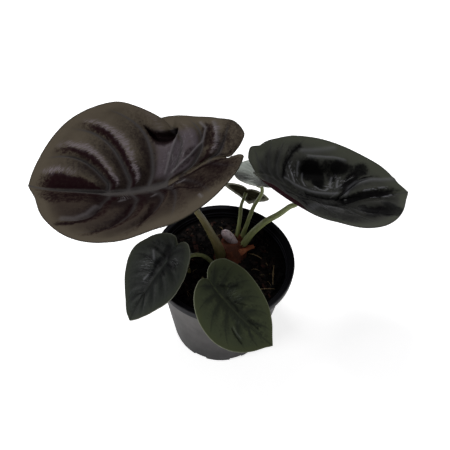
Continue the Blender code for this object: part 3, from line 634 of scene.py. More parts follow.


# The tones of each blade's upper and lower face, in thousandths, for the leaves in their order. near is a
# painted shade: the tone of the half on shaded_side, the half turned from the light, which is 1 for the left
# half and -1 for the right. shade is painted shade beside the ribs and about the midrib, steep the leaf's own
# dark purple on its steep slopes deepened as painted shade, crest a painted sheen, light a painted highlight,
# and patch the dark of the leaf's own smudges, of painted shade and of painted dark reflection. rim is a thin
# line along the margin, pale on the smaller leaves, partly their own pale edge and partly a painted
# highlight. On the back lower leaf, under is its own brown darkened as painted shade, and under_border is a
# painted highlight on its curled margin. A tone is 0 where a leaf doesn't show it
TONES = dict(
    base=((80, 65, 47), (50, 51, 42), (43, 49, 40), (56, 66, 34.5), (350, 385, 345), (150, 155, 110)),
    base_too=((62, 50, 36), (41, 42, 36), (34, 39, 33), (45, 55, 30), (300, 335, 300), (120, 125, 85)),
    shade=((9, 4.5, 5), (14, 14, 14.5), (9.5, 11, 11.5), (14.5, 17.5, 13.5), (250, 280, 250), (45, 40, 25)),
    near=((28, 18.5, 15.5), (16, 16, 13.5), (20, 23, 19), (36, 43, 21), (0, 0, 0), (0, 0, 0)),
    border=((88, 72, 52), (66, 70, 52), (43, 50, 34), (56, 65, 32), (330, 365, 320), (160, 160, 120)),
    steep=((9, 1.2, 2.4), (3, 2.3, 2), (13, 14.5, 14.5), (14, 16.5, 11.5), (140, 155, 140), (60, 60, 45)),
    crest=((160, 135, 148), (30, 30, 30), (62, 66, 69), (30, 34, 26), (300, 320, 300), (150, 150, 120)),
    plate=((88, 72, 83), (0, 0, 0), (0, 0, 0), (0, 0, 0), (0, 0, 0), (0, 0, 0)),
    patch=((6, 1.2, 1.8), (0.6, 0.4, 0.6), (3, 3.2, 3.5), (5, 6, 4), (30, 35, 30), (20, 18, 10)),
    light=((160, 148, 155), (230, 230, 250), (210, 215, 225), (130, 145, 125), (200, 200, 200),
           (200, 200, 170)),
    rib=((52, 48, 49), (45, 45, 44), (19, 21.5, 19), (19, 22.5, 16), (170, 190, 170), (70, 75, 55)),
    rim=((18, 18, 12.5), (18, 18, 15.5), (170, 180, 130), (200, 215, 145), (450, 460, 400), (260, 250, 200)),
    under=((38, 10, 13.5), (11, 3, 4.5), (45, 35, 30), (45, 35, 30), (100, 90, 75), (14, 12, 6)),
    under_too=((52, 16, 18.5), (17, 4.5, 6.5), (60, 50, 38), (60, 50, 38), (120, 110, 90), (34, 30, 17)),
    under_rib=((85, 45, 45), (30, 12, 14), (90, 85, 60), (90, 85, 60), (160, 160, 120), (50, 47, 30)),
    under_border=((50, 18, 20), (16, 4.5, 6), (60, 55, 40), (60, 55, 40), (130, 130, 100), (360, 360, 280)),
)

# How much of a tone is mixed in, how much of the left half's ribs shows, and how the faces shine
FINISHES = dict(
    shaded_side=(1, -1, 1, 1, 1, 1),
    shaded_half_share=(0.85, 0.8, 0.3, 0.2, 0, 0),
    shade_share=(0.95, 0.6, 0.75, 0.8, 0.5, 0.6),
    patch_share=(0.92, 0.96, 0.95, 0.85, 0.5, 0.9),
    light_share=(0.75, 0.6, 0.7, 0.5, 0.3, 0.3),
    rib_share=(0.9, 0.75, 0.6, 0.6, 0.6, 0.6),
    rib_left=(0.5, 1, 1, 1, 1, 1),
    rim_share=(0.8, 0.7, 0.9, 0.9, 0.8, 0.8),
    rough=(0.6, 0.5, 0.5, 0.52, 0.5, 0.5),
    rough_gloss=(0.52, 0.18, 0.36, 0.42, 0.42, 0.42),
    specular=(0.03, 0.035, 0.1, 0.08, 0.05, 0),
    under_specular=(0.03, 0.03, 0.03, 0.03, 0.03, 0),
    grain=(0.5, 0.12, 0.2, 0.2, 0.2, 0.2),
)

# Where a blade's marks lie. steep_areas weighs the dark slopes, partly painted shade, and the crests' painted
# sheen in the areas between veins, from sinus to tip, on the left and the right half. patches are dark
# ovals, some the leaf's own smudges and some painted shade and painted dark reflection, each with its place,
# half lengths and turn in degrees, and an amount. painted_glints are ovals with painted highlight streaks.
# plates are pale areas between two vein lines on the right half, out to a share of them. glossy is the
# wet-looking part of both halves, given in the same way. border_widths are the margin's on the left and the
# right half of a blade 100 long
COMMON_MARKS = dict(
    steep_areas=((0.3,) * 7, (0.3,) * 7), patches=(), painted_glints=(), plates=(), glossy=(2, 7, 0.5),
    border_widths=(14, 14),
)
MARKS = dict(
    large_left=dict(
        steep_areas=((0, 0, 0.15, 0.3, 0.5, 0.6, 0.5), (0, 0.8, 0.2, 0.12, 1, 1, 1)),
        patches=((-17, -13, 6, 5, 20, 0.75), (-12, -7.5, 9, 2.6, 20, 0.7), (66, 9, 24, 6, 0, 0.5),
                 (-31, -22, 4.5, 11, 0, 0.85), (-54, -14, 13, 24, 0, 0.5), (-38, 16, 26, 15, 0, 0.62)),
        painted_glints=((-3, -17, 3.5, 11, 10), (-12, -20, 5, 12, -10), (30, 5, 8, 3, 0), (-6, 6, 6, 3, 0)),
        plates=((2.05, 3.1, 0.6), (2.85, 3.95, 0.38)), glossy=(0, 7, 0.5),
    ),
    large_right=dict(
        steep_areas=((0, 0.2, 0.2, 0.3, 0, 1, 0.3), (0, 0, 0, 0.1, 0.1, 0.1, 0.1)),
        patches=((14, 25, 11, 7.4, 4, 1), (22, 20, 6.4, 10, 0, 1), (39, 28.5, 11.5, 5.6, -4, 1),
                 (34, 24, 5.5, 5, 0, 0.85), (29, 29, 7, 4.5, 0, 0.8), (47, 27, 6, 4.5, -10, 0.8),
                 (47, 16, 5.8, 15, -38, 1), (57, 25, 6.5, 9, -50, 0.95), (58, 0.6, 27, 4.6, 6, 1),
                 (44, -2.5, 11, 4.4, 0, 1), (-13, -27, 6, 3.6, 0, 0.85), (46, -27, 9, 6.5, 25, 1),
                 (57, -26, 9, 6.5, -12, 1), (66, -19.5, 7, 7, 25, 0.9), (42, -19, 4, 4, 0, 0.8),
                 (5, -36, 32, 12, 5, 0.45), (68, -25, 9, 7, 40, 0.9), (41, -22, 6, 4, 20, 0.9),
                 (12, -4, 32, 6, 0, 0.6)),
        painted_glints=((-4, 17, 5, 11, 0), (2, 17, 4, 11, 0), (11, 11, 8, 6, 0), (37, 17, 6, 8, -20),
                (30, 14, 5, 5, 0), (66, 6.5, 15, 1.6, 4), (66, -2.6, 15, 2, 5)),
        border_widths=(22, 12), glossy=(3.9, 7, 0.5),
    ),
    small_left=dict(
        patches=((-11, -3, 7, 3.5, 20, 0.9), (0, -4, 6, 3.5, 0, 0.9), (-4, 8, 3.6, 7, 10, 0.95),
                 (4, 5, 5, 3, 0, 0.75), (9, -3, 6, 2, 0, 0.6), (-13, -12, 2, 7, 20, 0.45),
                 (-7, -14, 1.6, 6, 20, 0.5), (1, -15, 1.8, 7, 20, 0.4)),
        painted_glints=((14, -5, 8, 4, 10), (7, -11, 9, 6, 0), (-8, 9, 4, 6, 0)), glossy=(2, 7, 0.45),
    ),
    small_front=dict(
        steep_areas=((0.3,) * 7, (0.15,) * 7),
        patches=((-3, 10, 8, 2.4, 60, 0.55), (-9, 4, 4, 3, 0, 0.35), (26, 4, 10, 1.6, 5, 0.5)),
        painted_glints=((4, 8, 9, 5, 0), (16, -4, 8, 2.5, 0)), glossy=(3, 7, 0.4),
    ),
    back_upper=dict(),
    back_lower=dict(
        patches=((0, 2, 15, 9, 10, 1), (14, 6, 10, 7, 0, 0.75), (8, -8, 9, 5, 0, 0.6)),
        border_widths=(19, 19),
    ),
)
LOOKS = {}
for column, (name, marks) in enumerate(MARKS.items()):
    tones = {tone: [value / 1000 for value in row[column]] for tone, row in TONES.items()}
    LOOKS[name] = {**COMMON_MARKS, **marks, **tones, **{key: row[column] for key, row in FINISHES.items()}}


# Shared geometry

def linked(name, data):
    """A new object in the scene."""
    made = bpy.data.objects.new(name, data)
    bpy.context.scene.collection.objects.link(made)
    return made


def finished(name, data, finishes, slot, *replaced):
    """Makes a mesh a piece that rides on the root body."""
    piece = linked(name, data)
    for finish in finishes:
        data.materials.append(finish)
    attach(piece, "root")
    if replaced:
        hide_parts(*replaced)


def mesh_from(work, name):
    mesh = bpy.data.meshes.new(name)
    work.to_mesh(mesh)
    work.free()
    mesh.shade_smooth()
    return mesh


def evaluated(obj):
    """The object's mesh with its modifiers, or its curve as a mesh. The object is removed."""
    graph = bpy.context.evaluated_depsgraph_get()
    shaped = obj.evaluated_get(graph)
    mesh = bpy.data.meshes.new_from_object(shaped, preserve_all_data_layers=True, depsgraph=graph)
    bpy.data.objects.remove(obj)
    return mesh


def welded(mesh, distance, up=None):
    """Joins the points of a mesh that meet, and turns its faces to a direction if there is one."""
    work = bmesh.new()
    work.from_mesh(mesh)
    bmesh.ops.remove_doubles(work, verts=work.verts, dist=distance)
    if up is not None:
        bmesh.ops.recalc_face_normals(work, faces=work.faces)
        if sum(face.normal.dot(up) for face in work.faces) < 0:
            bmesh.ops.reverse_faces(work, faces=work.faces)
    work.to_mesh(mesh)
    work.free()
    mesh.shade_smooth()


def thickened(name, mesh, thickness, offset=-1, lower=0):
    """A thin sheet as a solid, whose lower face takes the material that comes lower places after its own."""
    sheet = linked(name, mesh)
    shell = sheet.modifiers.new("thickness", "SOLIDIFY")
    shell.thickness = thickness * MM
    shell.offset = offset
    shell.material_offset = lower
    return evaluated(sheet)


def smooth(at, knots, values):
    """A cubic curve through the values at the knots that never overshoots them."""
    knots = np.asarray(knots, float)
    values = np.asarray(values, float)
    secants = np.diff(values) / np.diff(knots)
    product = secants[1:] * secants[:-1]
    total = secants[1:] + secants[:-1]
    inner = np.where(product > 0, 2 * product / np.where(product > 0, total, 1), 0)
    slopes = np.concatenate([secants[:1], inner, secants[-1:]])
    i = np.clip(np.searchsorted(knots, at, side="right") - 1, 0, len(knots) - 2)
    step = knots[i + 1] - knots[i]
    t = (at - knots[i]) / step
    start = (1 + 2 * t) * (1 - t) ** 2 * values[i] + t * (1 - t) ** 2 * step * slopes[i]
    end = t * t * (3 - 2 * t) * values[i + 1] - t * t * (1 - t) * step * slopes[i + 1]
    return start + end


def polar(radius, angle):
    return radius * math.cos(angle), radius * math.sin(angle)


def eased(value, low, high):
    """0 below low, 1 above high, and a smooth step between them."""
    t = np.clip((value - low) / (high - low), 0, 1)
    return t * t * (3 - 2 * t)


def hill(value, middle, width):
    return np.exp(-(((value - middle) / width) ** 2))


# Blades

def facing(leaf):
    """Columns are the blade's directions to the tip, to its left and up from its face."""
    turn = Matrix.Rotation(math.radians(leaf["heading"]), 3, "Z")
    dip = Matrix.Rotation(math.radians(leaf["pitch"]), 3, "Y")
    tilt = Matrix.Rotation(math.radians(leaf["roll"]), 3, "X")
    return np.array(turn @ dip @ tilt)


def vein_value(leaf, column, along, side):
    """One column of the vein tables between veins, from the table of the blade's left or right half."""
    number = np.arange(len(leaf["veins"][0]))
    left, right = (smooth(along, number, [vein[column] for vein in table]) for table in leaf["veins"])
    return np.where(side > 0, left, right)


def flat_place(leaf, along, across):
    """Where a vein line lies on the flat blade, with x to the tip and y to the left of it."""
    side = np.where(across < 0, -1.0, 1.0)
    reach = np.abs(across)
    own = vein_value(leaf, 0, along, side)
    shared = (own + vein_value(leaf, 0, along, -side)) / 2
    start = (shared + (own - shared) * eased(reach, 0, 0.12)) * leaf["length"]
    end = vein_value(leaf, 1, along, side)
    hook = vein_value(leaf, 3, along, side)
    fullest = (hook / (hook + 1)) ** hook / (hook + 1)
    bowed = vein_value(leaf, 2, along, side) * reach ** hook * (1 - reach) / fullest
    radius = np.where(side > 0, *(smooth(end, OUTLINE_ANGLES, leaf[half]) for half in ("left", "right")))
    run_x = radius * np.cos(np.radians(end)) - start
    run_y = radius * np.sin(np.radians(end))
    x = start + run_x * reach - run_y * bowed
    y = run_y * reach + run_x * bowed
    return x, side * y, np.hypot(run_x, run_y)


def puff_value(leaf, key, along, across):
    """A puff's number on the blade's left or right half, in the area between veins that along gives."""
    areas = len(leaf["veins"][0]) - 1
    area = np.minimum(np.asarray(along).astype(int), areas - 1)
    left, right = (np.broadcast_to(puff[key], areas)[area] for puff in leaf["puff"])
    return np.where(across > 0, left, right)


def faded(leaf, reach, across):
    """1 over a blade's middle and 0 from where its relief has died away to the margin."""
    low, high = (np.where(across > 0, *[puff["fade"][i] for puff in leaf["puff"]]) for i in (0, 1))
    return 1 - eased(reach, low, high)


def relief(leaf, along, across, vein_length):
    """Height of the puffed areas between the sunken veins."""
    reach = np.abs(across)
    share = np.mod(along, 1)
    height, skew, fullness, soon, margin = (
        puff_value(leaf, key, along, across) for key in ("height", "skew", "fullness", "rise", "margin")
    )
    between = np.sin(np.pi * share ** skew) ** fullness
    rise = 1 - np.exp(-reach * vein_length / soon)
    fade = margin + (1 - margin) * faded(leaf, reach, across)
    return height * between * rise * fade


def valley(leaf, x, y):
    """How far the blade's middle sinks below its plain fold."""
    low = leaf["valley"]
    inside = np.where(y > 0, *(1 - eased(np.abs(y), *low[half]) for half in ("left", "right")))
    return low["depth"] * inside * hill(x, low["middle"], low["spread"])


def folded(leaf, x, y):
    """Height of a blade's folds and bumps, and how much each place is on a raised fold, which gets a painted
    highlight, and on a sunken one, which gets painted shade.
    """
    rise, raised, sunk = 0 * x, 0 * x, 0 * x
    for points, width, height in leaf["folds"]:
        away = np.full_like(x, 999.0)
        for (x0, y0), (x1, y1) in zip(points, points[1:]):
            share = ((x - x0) * (x1 - x0) + (y - y0) * (y1 - y0)) / ((x1 - x0) ** 2 + (y1 - y0) ** 2)
            share = np.clip(share, 0, 1)
            away = np.minimum(away, np.hypot(x - x0 - share * (x1 - x0), y - y0 - share * (y1 - y0)))
        line = np.exp(-((away / width) ** 2))
        rise = rise + height * line
        if height < 0:
            sunk = np.maximum(sunk, line)
        else:
            raised = np.maximum(raised, line * min(1, 0.85 / width))
    for bump in leaf["bumps"]:
        rise = rise + bump[5] * eased(1 - oval(x, y, *bump[:5]) ** 0.5, 0, 0.8)
    return rise, raised, sunk


def rolled(leaf, along, across, vein_length):
    """Rolls a stretch of the right margin up, and gives each place's share of its vein and its rise."""
    if not leaf["rolled_edge"]:
        return across, 0 * across
    width = ROLL_WIDTH * within(along, leaf["rolled_edge"]) * (across < 0)
    inner = vein_length - width
    spare = width - ROLL_RADIUS * np.sin(np.minimum(width / ROLL_RADIUS, math.pi / 2))
    from_midrib = np.abs(across) * vein_length
    past = np.maximum(from_midrib - inner, 0) / ROLL_RADIUS
    flat = from_midrib * (inner + spare) / inner
    placed = np.where(past > 0, inner + spare + ROLL_RADIUS * np.sin(past), flat)
    return np.sign(across) * placed / vein_length, ROLL_RADIUS * (1 - np.cos(past))


def oval(x, y, middle_x, middle_y, long, short, turn):
    """How far out each place is from an oval's middle, squared, with 1 on its edge."""
    cos, sin = math.cos(math.radians(turn)), math.sin(math.radians(turn))
    run = (x - middle_x) * cos + (y - middle_y) * sin
    over = (y - middle_y) * cos - (x - middle_x) * sin
    return (run / long) ** 2 + (over / short) ** 2


def within(value, ends):
    """1 between two soft ends and 0 outside them."""
    return eased(value, *ends[0]) * (1 - eased(value, *ends[1]))


def pocket(x, y):
    """How far the left blade's pocket moves each place to the midrib and up, and how much painted shade
    darkens its pit.
    """
    past = y - POCKET_EDGE + POCKET_BOW * (x - POCKET_MIDDLE) ** 2
    inside = within(x, POCKET_ENDS)
    lean = hill(past, -2.5, 4) * inside
    width = smooth(np.clip(x, PIT_PLACES[0], PIT_PLACES[-1]), PIT_PLACES, PIT_WIDTHS)
    pit = eased(past, 0, 2.8) * (1 - eased(past / width, 0.3, 1.15)) * eased(width, 1, 7)
    dark = eased(past, 0, 1) * (1 - eased(past / width, 0.75, 1.15)) * eased(width, 1, 3)
    return LEAN_SHIFT * lean, LEAN_RISE * lean - PIT_DEPTH * pit, dark


def basin(x, y):
    """How far the right blade's glossy basin moves each place to the midrib and up. It has no dark pit."""
    past = RIM_PLACE + RIM_SLANT * x - y
    inside = within(x, BASIN_ENDS)
    sunk = within(past, (BASIN_WALL, BASIN_RAMP)) * inside
    rim = hill(past, -1.5, 3) * inside
    return 0 * x, RIM_RISE * rim - BASIN_DEPTH * sunk, 0 * x


def bent(leaf, x, y, reach, lift):
    """Takes flat blade places, lifted off its face, to the plant's own space."""
    length = leaf["length"]
    half_width = 0.55 * length
    droop = np.where(x > 0, leaf["droop"], -leaf["back_droop"]) / length
    turn = droop * x
    fold = np.where(y > 0, *leaf["fold"])
    curl = np.where(y > 0, *leaf["curl"]) / half_width
    slope = fold + curl * np.abs(y)
    lift = lift - valley(leaf, x, y)
    out = (np.sin(slope) - np.sin(fold)) / curl - lift * np.sin(slope)
    up = (np.cos(fold) - np.cos(slope)) / curl + lift * np.cos(slope)
    share = x / length
    sideways = leaf["sweep"] * length * 4 * share * (1 - share) * np.where(x > 0, 1, 0.6)
    knots, shifts = leaf["shifts"]
    sideways = sideways + smooth(np.clip(x, knots[0], knots[-1]), knots, shifts) * (1 - reach) ** 1.5
    forward = np.sin(turn) / droop + up * np.sin(turn)
    rise = (np.cos(turn) - 1) / droop + up * np.cos(turn)
    local = np.stack([forward, np.sign(y) * out + sideways, rise], axis=-1)
    return local @ facing(leaf).T + leaf["attach"]


def glossy(look, along, reach):
    """1 where a blade is wet-looking: over its middle, between two vein lines."""
    low, high, far = look["glossy"]
    band = eased(along, low - 0.4, low) * (1 - eased(reach, far, far + 0.2))
    return band * (1 - eased(along, high, high + 0.4))


HOLLOWS = dict(pocket=pocket, basin=basin)


def blade_fields(name, leaf, along, across, x, y, dark, raised, sunk):
    """What a blade's materials read at each point: veins, slopes, crests and margins, each from 0 to 1."""
    look = LOOKS[name]
    reach = np.abs(across)
    share = np.mod(along, 1)
    count = len(leaf["veins"][0]) - 1
    small = leaf["length"] / 100
    to_veins = []
    for number in (np.floor(along), np.minimum(np.floor(along) + 1, count)):
        vein_x, vein_y, _ = flat_place(leaf, number, across)
        away = np.hypot(x - vein_x, y - vein_y)
        to_veins.append(np.where((number == 0) | (number == count), 99, away))
    vein_width = (0.6 + 1.2 * (1 - reach)) * small ** 0.5
    rib = np.exp(-((np.minimum(*to_veins) / vein_width) ** 2)) * (1 - eased(reach, 0.75, 0.95))
    rib = rib * np.where(across > 0, look["rib_left"], 1)
    midrib_width = (0.8 + 1.7 * (1 - np.clip(x / leaf["length"], 0, 1))) * small ** 0.5
    midrib = np.where(x > 0, np.exp(-((y / midrib_width) ** 4)), 0)
    edge_x, edge_y, _ = flat_place(leaf, along, np.where(across < 0, -1.0, 1.0))
    to_edge = np.hypot(x - edge_x, y - edge_y)
    body = faded(leaf, 0.5 * reach + 0.5 * reach ** 2, across)
    off_midrib = eased(np.abs(y), 0.6 * small, 1.6 * small)
    area = np.minimum(along.astype(int), count - 1)
    weight = np.where(across > 0, *(np.take(weights, area) for weights in look["steep_areas"]))
    peak = 0.5 ** (1 / puff_value(leaf, "skew", along, across))
    wobble = np.sin(0.37 * x + 0.2 * y) + np.sin(0.83 * x - 0.61 * y) * np.sin(0.29 * y)
    from_peak = share - peak + WOBBLE * wobble
    last = area == count - 1
    # Dark steep slopes: the leaf's own purple, deepened as painted shade where they turn from the light
    steep = eased(from_peak, -0.03, 0.09) * np.where(last, 1, 1 - eased(from_peak, 0.16, 0.36))
    # Painted sheen along the puffs' crests
    crest = hill(from_peak, -0.06, 0.09) * body * eased(np.abs(y), 3 * small, 8 * small)
    crest = crest * weight * (across < 0) * np.where(last, eased(reach, 0.35, 0.8), 1)
    # Painted shade beside the ribs and about the midrib
    shade = np.maximum(0.7 * eased(share, 0.7, 0.9), 1 - eased(reach, 0.1, 0.3))
    shade = np.maximum(1 - eased(share, 0.15, 0.6), shade) * (1 - eased(reach, 0.3, 0.85))
    # patch: the leaf's own smudges, painted shade and painted dark reflection, with the pit's painted shade
    patch, painted_glint = dark, 0 * x
    for *place, amount in look["patches"]:
        patch = np.maximum(patch, amount * (1 - eased(oval(x, y, *place) ** 0.5, 0.6, 1.2)))
    # Ovals of painted highlight streaks
    for place in look["painted_glints"]:
        painted_glint = np.maximum(painted_glint, 1 - eased(oval(x, y, *place) ** 0.5, 0.4, 1.2))
    plate = 0 * reach
    for low, high, far in look["plates"]:
        band = eased(along, low, low + 0.25) * (1 - eased(along, high - 0.25, high))
        plate = np.maximum(plate, band * (1 - eased(reach, far, far + 0.18)))
    plate = plate * (across < 0) * eased(reach, 0.03, 0.1)
    return dict(
        rib=np.maximum(rib, midrib),
        steep=steep * body * off_midrib * weight * (1 - plate),
        crest=crest,
        shade=shade * off_midrib,
        # Painted shade on the half turned from the light
        shaded_half=eased(look["shaded_side"] * y, -1, 4) * (1 - eased(reach, 0.62, 0.92)),
        border=1 - eased(to_edge, 5 * small, np.where(across > 0, *look["border_widths"]) * small),
        # A thin line along the margin, on the smaller leaves partly a painted highlight
        rim=np.exp(-((to_edge / (0.7 * small ** 0.5)) ** 2)),
        # Sunken folds are darkened as painted shade
        patch=np.maximum(patch, sunk),
        # Painted highlight on raised folds and the rolled margin's curl
        light=raised,
        painted_glint=painted_glint,
        plate=plate,
        gloss=glossy(look, along, reach),
    )


def make_blade(name, leaf):
    columns = leaf["columns"]
    steps = [np.linspace(area, area + 1, lines, endpoint=False) for area, lines in enumerate(columns)]
    steps = np.concatenate([*steps, [len(columns)]])
    side = np.linspace(-1, 1, 2 * leaf["rows"] + 1)
    side = np.sign(side) * np.abs(side) ** 1.25
    lines, points = len(steps), len(side)
    along = np.repeat(steps, points)
    across = np.tile(side, lines)
    x, y, vein_length = flat_place(leaf, along, across)
    sideways, rise, dark = HOLLOWS[leaf["hollow"]](x, y) if leaf["hollow"] else (0 * x, 0 * x, 0 * x)
    fold_rise, raised, sunk = folded(leaf, x, y)
    rolled_across, curled = rolled(leaf, along, across, vein_length)
    # The rolled margin's curl gets the same painted highlight as a raised fold
    raised = np.maximum(raised, 0.8 * hill(curled, 0.7, 0.35))
    fields = blade_fields(name, leaf, along, across, x, y, dark, raised, sunk)
    lift = relief(leaf, along, across, vein_length) + rise + fold_rise
    lift = lift + RIB_RISE * leaf["length"] / 100 * fields["rib"]
    x, y, _ = flat_place(leaf, along, rolled_across)
    places = bent(leaf, x, y + sideways, np.minimum(np.abs(rolled_across), 1), lift + curled) * MM
    strokes = np.stack([np.abs(across) * vein_length, 5 * np.mod(along, 1), 7 * np.floor(along)], axis=1)
    first = (np.arange(lines - 1)[:, None] * points + np.arange(points - 1)).ravel()
    quads = np.stack([first, first + points, first + points + 1, first + 1], axis=1)
    mesh = bpy.data.meshes.new(name)
    mesh.from_pydata(places.tolist(), [], quads.tolist())
    for label, values in fields.items():
        mesh.attributes.new(label, "FLOAT", "POINT").data.foreach_set("value", values.astype(np.float32))
    on_blade = mesh.attributes.new("strokes", "FLOAT_VECTOR", "POINT")
    on_blade.data.foreach_set("vector", strokes.ravel().astype(np.float32))
    welded(mesh, 0.00002, Vector(facing(leaf)[:, 2]))
    mesh.materials.append(leaf_material(f"{name}_upper", LOOKS[name]))
    mesh.materials.append(under_material(f"{name}_under", LOOKS[name]))
    solid = thickened(name, mesh, BLADE_THICKNESS, lower=1)
    solid.set_sharp_from_angle(angle=math.radians(60))
    finished(f"leaf_{name}", solid, [], leaf["slot"], f"blade_{name}")


# Petioles and crown

def stem_mesh(name, points, radii, rounding=5, steps=10):
    curve = bpy.data.curves.new(name, "CURVE")
    curve.dimensions = "3D"
    curve.bevel_depth = MM
    curve.bevel_resolution = rounding
    curve.resolution_u = steps
    curve.use_fill_caps = True
    spline = curve.splines.new("BEZIER")
    spline.bezier_points.add(len(points) - 1)
    for knot, point, radius in zip(spline.bezier_points, points, radii):
        knot.co = Vector(point) * MM
        knot.radius = radius
        knot.handle_left_type = "AUTO"
        knot.handle_right_type = "AUTO"
    mesh = evaluated(linked(name, curve))
    welded(mesh, 0.000001)
    mesh.materials.clear()
    return mesh


def make_petiole(name, leaf, finish):
    up = Vector(facing(leaf)[:, 2])
    middle = np.zeros(1)
    end = Vector(bent(leaf, middle, middle, middle, middle)[0]) - up * BLADE_THICKNESS
    points = [Vector(point) for point in leaf["route"]] + [end - up * KNEE, end]
    radii = list(leaf["radii"])
    radii[-1] *= STALK_FLARE
    mesh = stem_mesh(f"stalk_{name}", points, radii)
    finished(f"stalk_{name}", mesh, [finish], "petiole", f"petiole_{name}")


def make_crown():
    """The rhizome's top with dry sheaths that wrap the petioles' feet."""
    work = bmesh.new()
    bmesh.ops.create_icosphere(work, subdivisions=5, radius=1)
    for vertex in work.verts:
        lump = 1 + 0.06 * noise.noise(vertex.co * 2.6) + 0.03 * noise.noise(vertex.co * 7)
        vertex.co = Vector([c * r * lump for c, r in zip(vertex.co, CROWN_RADII)]) + Vector(CROWN_MIDDLE)
        vertex.co *= MM
    finish = sheath_material("sheath_dry", (0.075, 0.023, 0.013), (0.09, 0.031, 0.016), (0.2, 0.056, 0.023))
    joined = bmesh.new()
    for mesh in (mesh_from(work, "crown_body"), *(make_sheath(name) for name in CROWN_LEAVES)):
        joined.from_mesh(mesh)
    finished("crown_sheaths", mesh_from(joined, "crown_sheaths"), [finish], "dry_sheath", "crown")


def make_sheath(name):
    """An open, ragged cuff of old leaf base round one petiole's foot."""
    leaf = LEAVES[name]
    foot, knee = Vector(leaf["route"][0]), Vector(leaf["route"][1])
    way = (Vector(leaf["route"][2]) - knee).normalized()
    tall = -1.0 if name == "large_left" else 2.5
    base = foot.lerp(knee, 0.2)
    points = [base, foot.lerp(knee, 0.7), knee + way * (tall - 3)]
    widths = [leaf["radii"][0] + 2.4, leaf["radii"][1] + 1.4, leaf["radii"][1] + 0.6]
    side = way.orthogonal().normalized()
    other = way.cross(side)
    seed = Vector((len(name) * 3.1, 0, 0))
    rows, turns = 14, 40
    work = bmesh.new()
    rings = []
    for row in range(rows + 1):
        share = row / rows
        part = min(int(share * 2), 1)
        middle = points[part].lerp(points[part + 1], share * 2 - part)
        width = float(np.interp(share, (0, 0.5, 1), widths))
        ring = []
        for step in range(turns):
            angle = 2 * math.pi * step / turns
            out = side * math.cos(angle) + other * math.sin(angle)
            ragged = 3.0 * share * noise.noise(out * 1.7 + seed)
            ripple = 0.25 * math.sin(9 * angle + 3 * noise.noise(out * 2 + seed))
            ring.append(work.verts.new((middle + out * (width + ripple * share) + way * ragged) * MM))
        rings.append(ring)
    for low, high in zip(rings, rings[1:]):
        for step in range(turns):
            after = (step + 1) % turns
            work.faces.new((low[step], low[after], high[after], high[step]))
    return thickened(f"cuff_{name}", mesh_from(work, f"cuff_{name}"), CUFF_THICKNESS)


def make_bud():
    foot, tip = Vector(BUD_FOOT), Vector(BUD_TIP)
    points = [foot.lerp(tip, share) + Vector((0, 0, 1.2 * math.sin(math.pi * share))) for share in BUD_RADII]
    mesh = stem_mesh("bud", points, BUD_RADII.values(), rounding=8)
    finished("bud_new_leaf", mesh, [bud_material()], "bud", "bud")


def make_flap():
    """Loose papery strip of old sheath that curls out from the crown's right side."""
    work = bmesh.new()
    bmesh.ops.create_grid(work, x_segments=36, y_segments=16, size=0.5)
    turn = Matrix.Rotation(math.radians(FLAP_TURN), 3, "Z")
    for vertex in work.verts:
        run, over = vertex.co.x + 0.5, vertex.co.y
        narrow = 1 - 0.45 * run
        ragged = 1 + 0.12 * noise.noise(Vector((over * 6, 3, 1)))
        rise = 2.5 * math.sin(run * math.pi * 0.8) - 5 * over * over * narrow
        rise += 0.5 * noise.noise(Vector((run * 3, over * 5, 0)))
        place = Vector((FLAP_LENGTH * run * ragged, FLAP_WIDTH * over * narrow, rise))
        vertex.co = (Vector(FLAP_PLACE) + turn @ place) * MM
    finish = sheath_material("flap_paper", (0.22, 0.055, 0.022), (0.3, 0.09, 0.038), (0.42, 0.17, 0.08))
    paper = thickened("flap", mesh_from(work, "flap"), FLAP_THICKNESS, offset=0)
    finished("sheath_flap", paper, [finish], "dry_sheath")


def make_nubs():
    finish = plain_material("shoot_skin", (0.2, 0.2, 0.07), (0.28, 0.26, 0.1), 0.4, 500)
    for number, (x, y, radius, height) in enumerate(NUBS, 1):
        base = Vector((x, y, SOIL_EDGE - 2))
        lean = Vector((0.5, 0.3, 0)) * (1 if number == 1 else -1)
        points = [base, base + Vector((0, 0, 2 + height * 0.4)), base + Vector((0, 0, 2 + height)) + lean]
        mesh = stem_mesh(f"shoot_{number}", points, (radius, radius * 0.95, radius * 0.3), 5, 8)
        finished(f"shoot_{number}", mesh, [finish], "side_shoot", f"side_shoot_{number}")


# Pot

def arc(middle, radius, first, last):
    """Points on an arc in the (radius, height) plane, from one angle in degrees to another."""
    angles = [math.radians(first + (last - first) * i / 6) for i in range(7)]
    return [(middle[0] + radius * math.cos(a), middle[1] + radius * math.sin(a)) for a in angles]


def wall_radius(height):
    return BASE_RADIUS + (WALL_TOP_RADIUS - BASE_RADIUS) * height / POT_HEIGHT


def bead(height):
    """A shallow moulded ring on the pot's inner wall, as profile points from its foot up."""
    inner = wall_radius(height) - WALL
    ring = inner - 0.45
    return [(inner, height - 0.8), (ring, height - 0.35), (ring, height + 0.35), (inner, height + 0.8)]


def turned(name, profile):
    """A mesh turned about Z from a profile of (radius, height) that runs down its outer side."""
    mesh = bpy.data.meshes.new(name)
    points = [(radius * MM, 0, height * MM) for radius, height in profile]
    mesh.from_pydata(points, [(i, i + 1) for i in range(len(points) - 1)], [])
    obj = linked(name, mesh)
    screw = obj.modifiers.new("turn", "SCREW")
    screw.steps = POT_STEPS
    screw.render_steps = POT_STEPS
    screw.use_merge_vertices = True
    screw.merge_threshold = 0.00001
    return obj


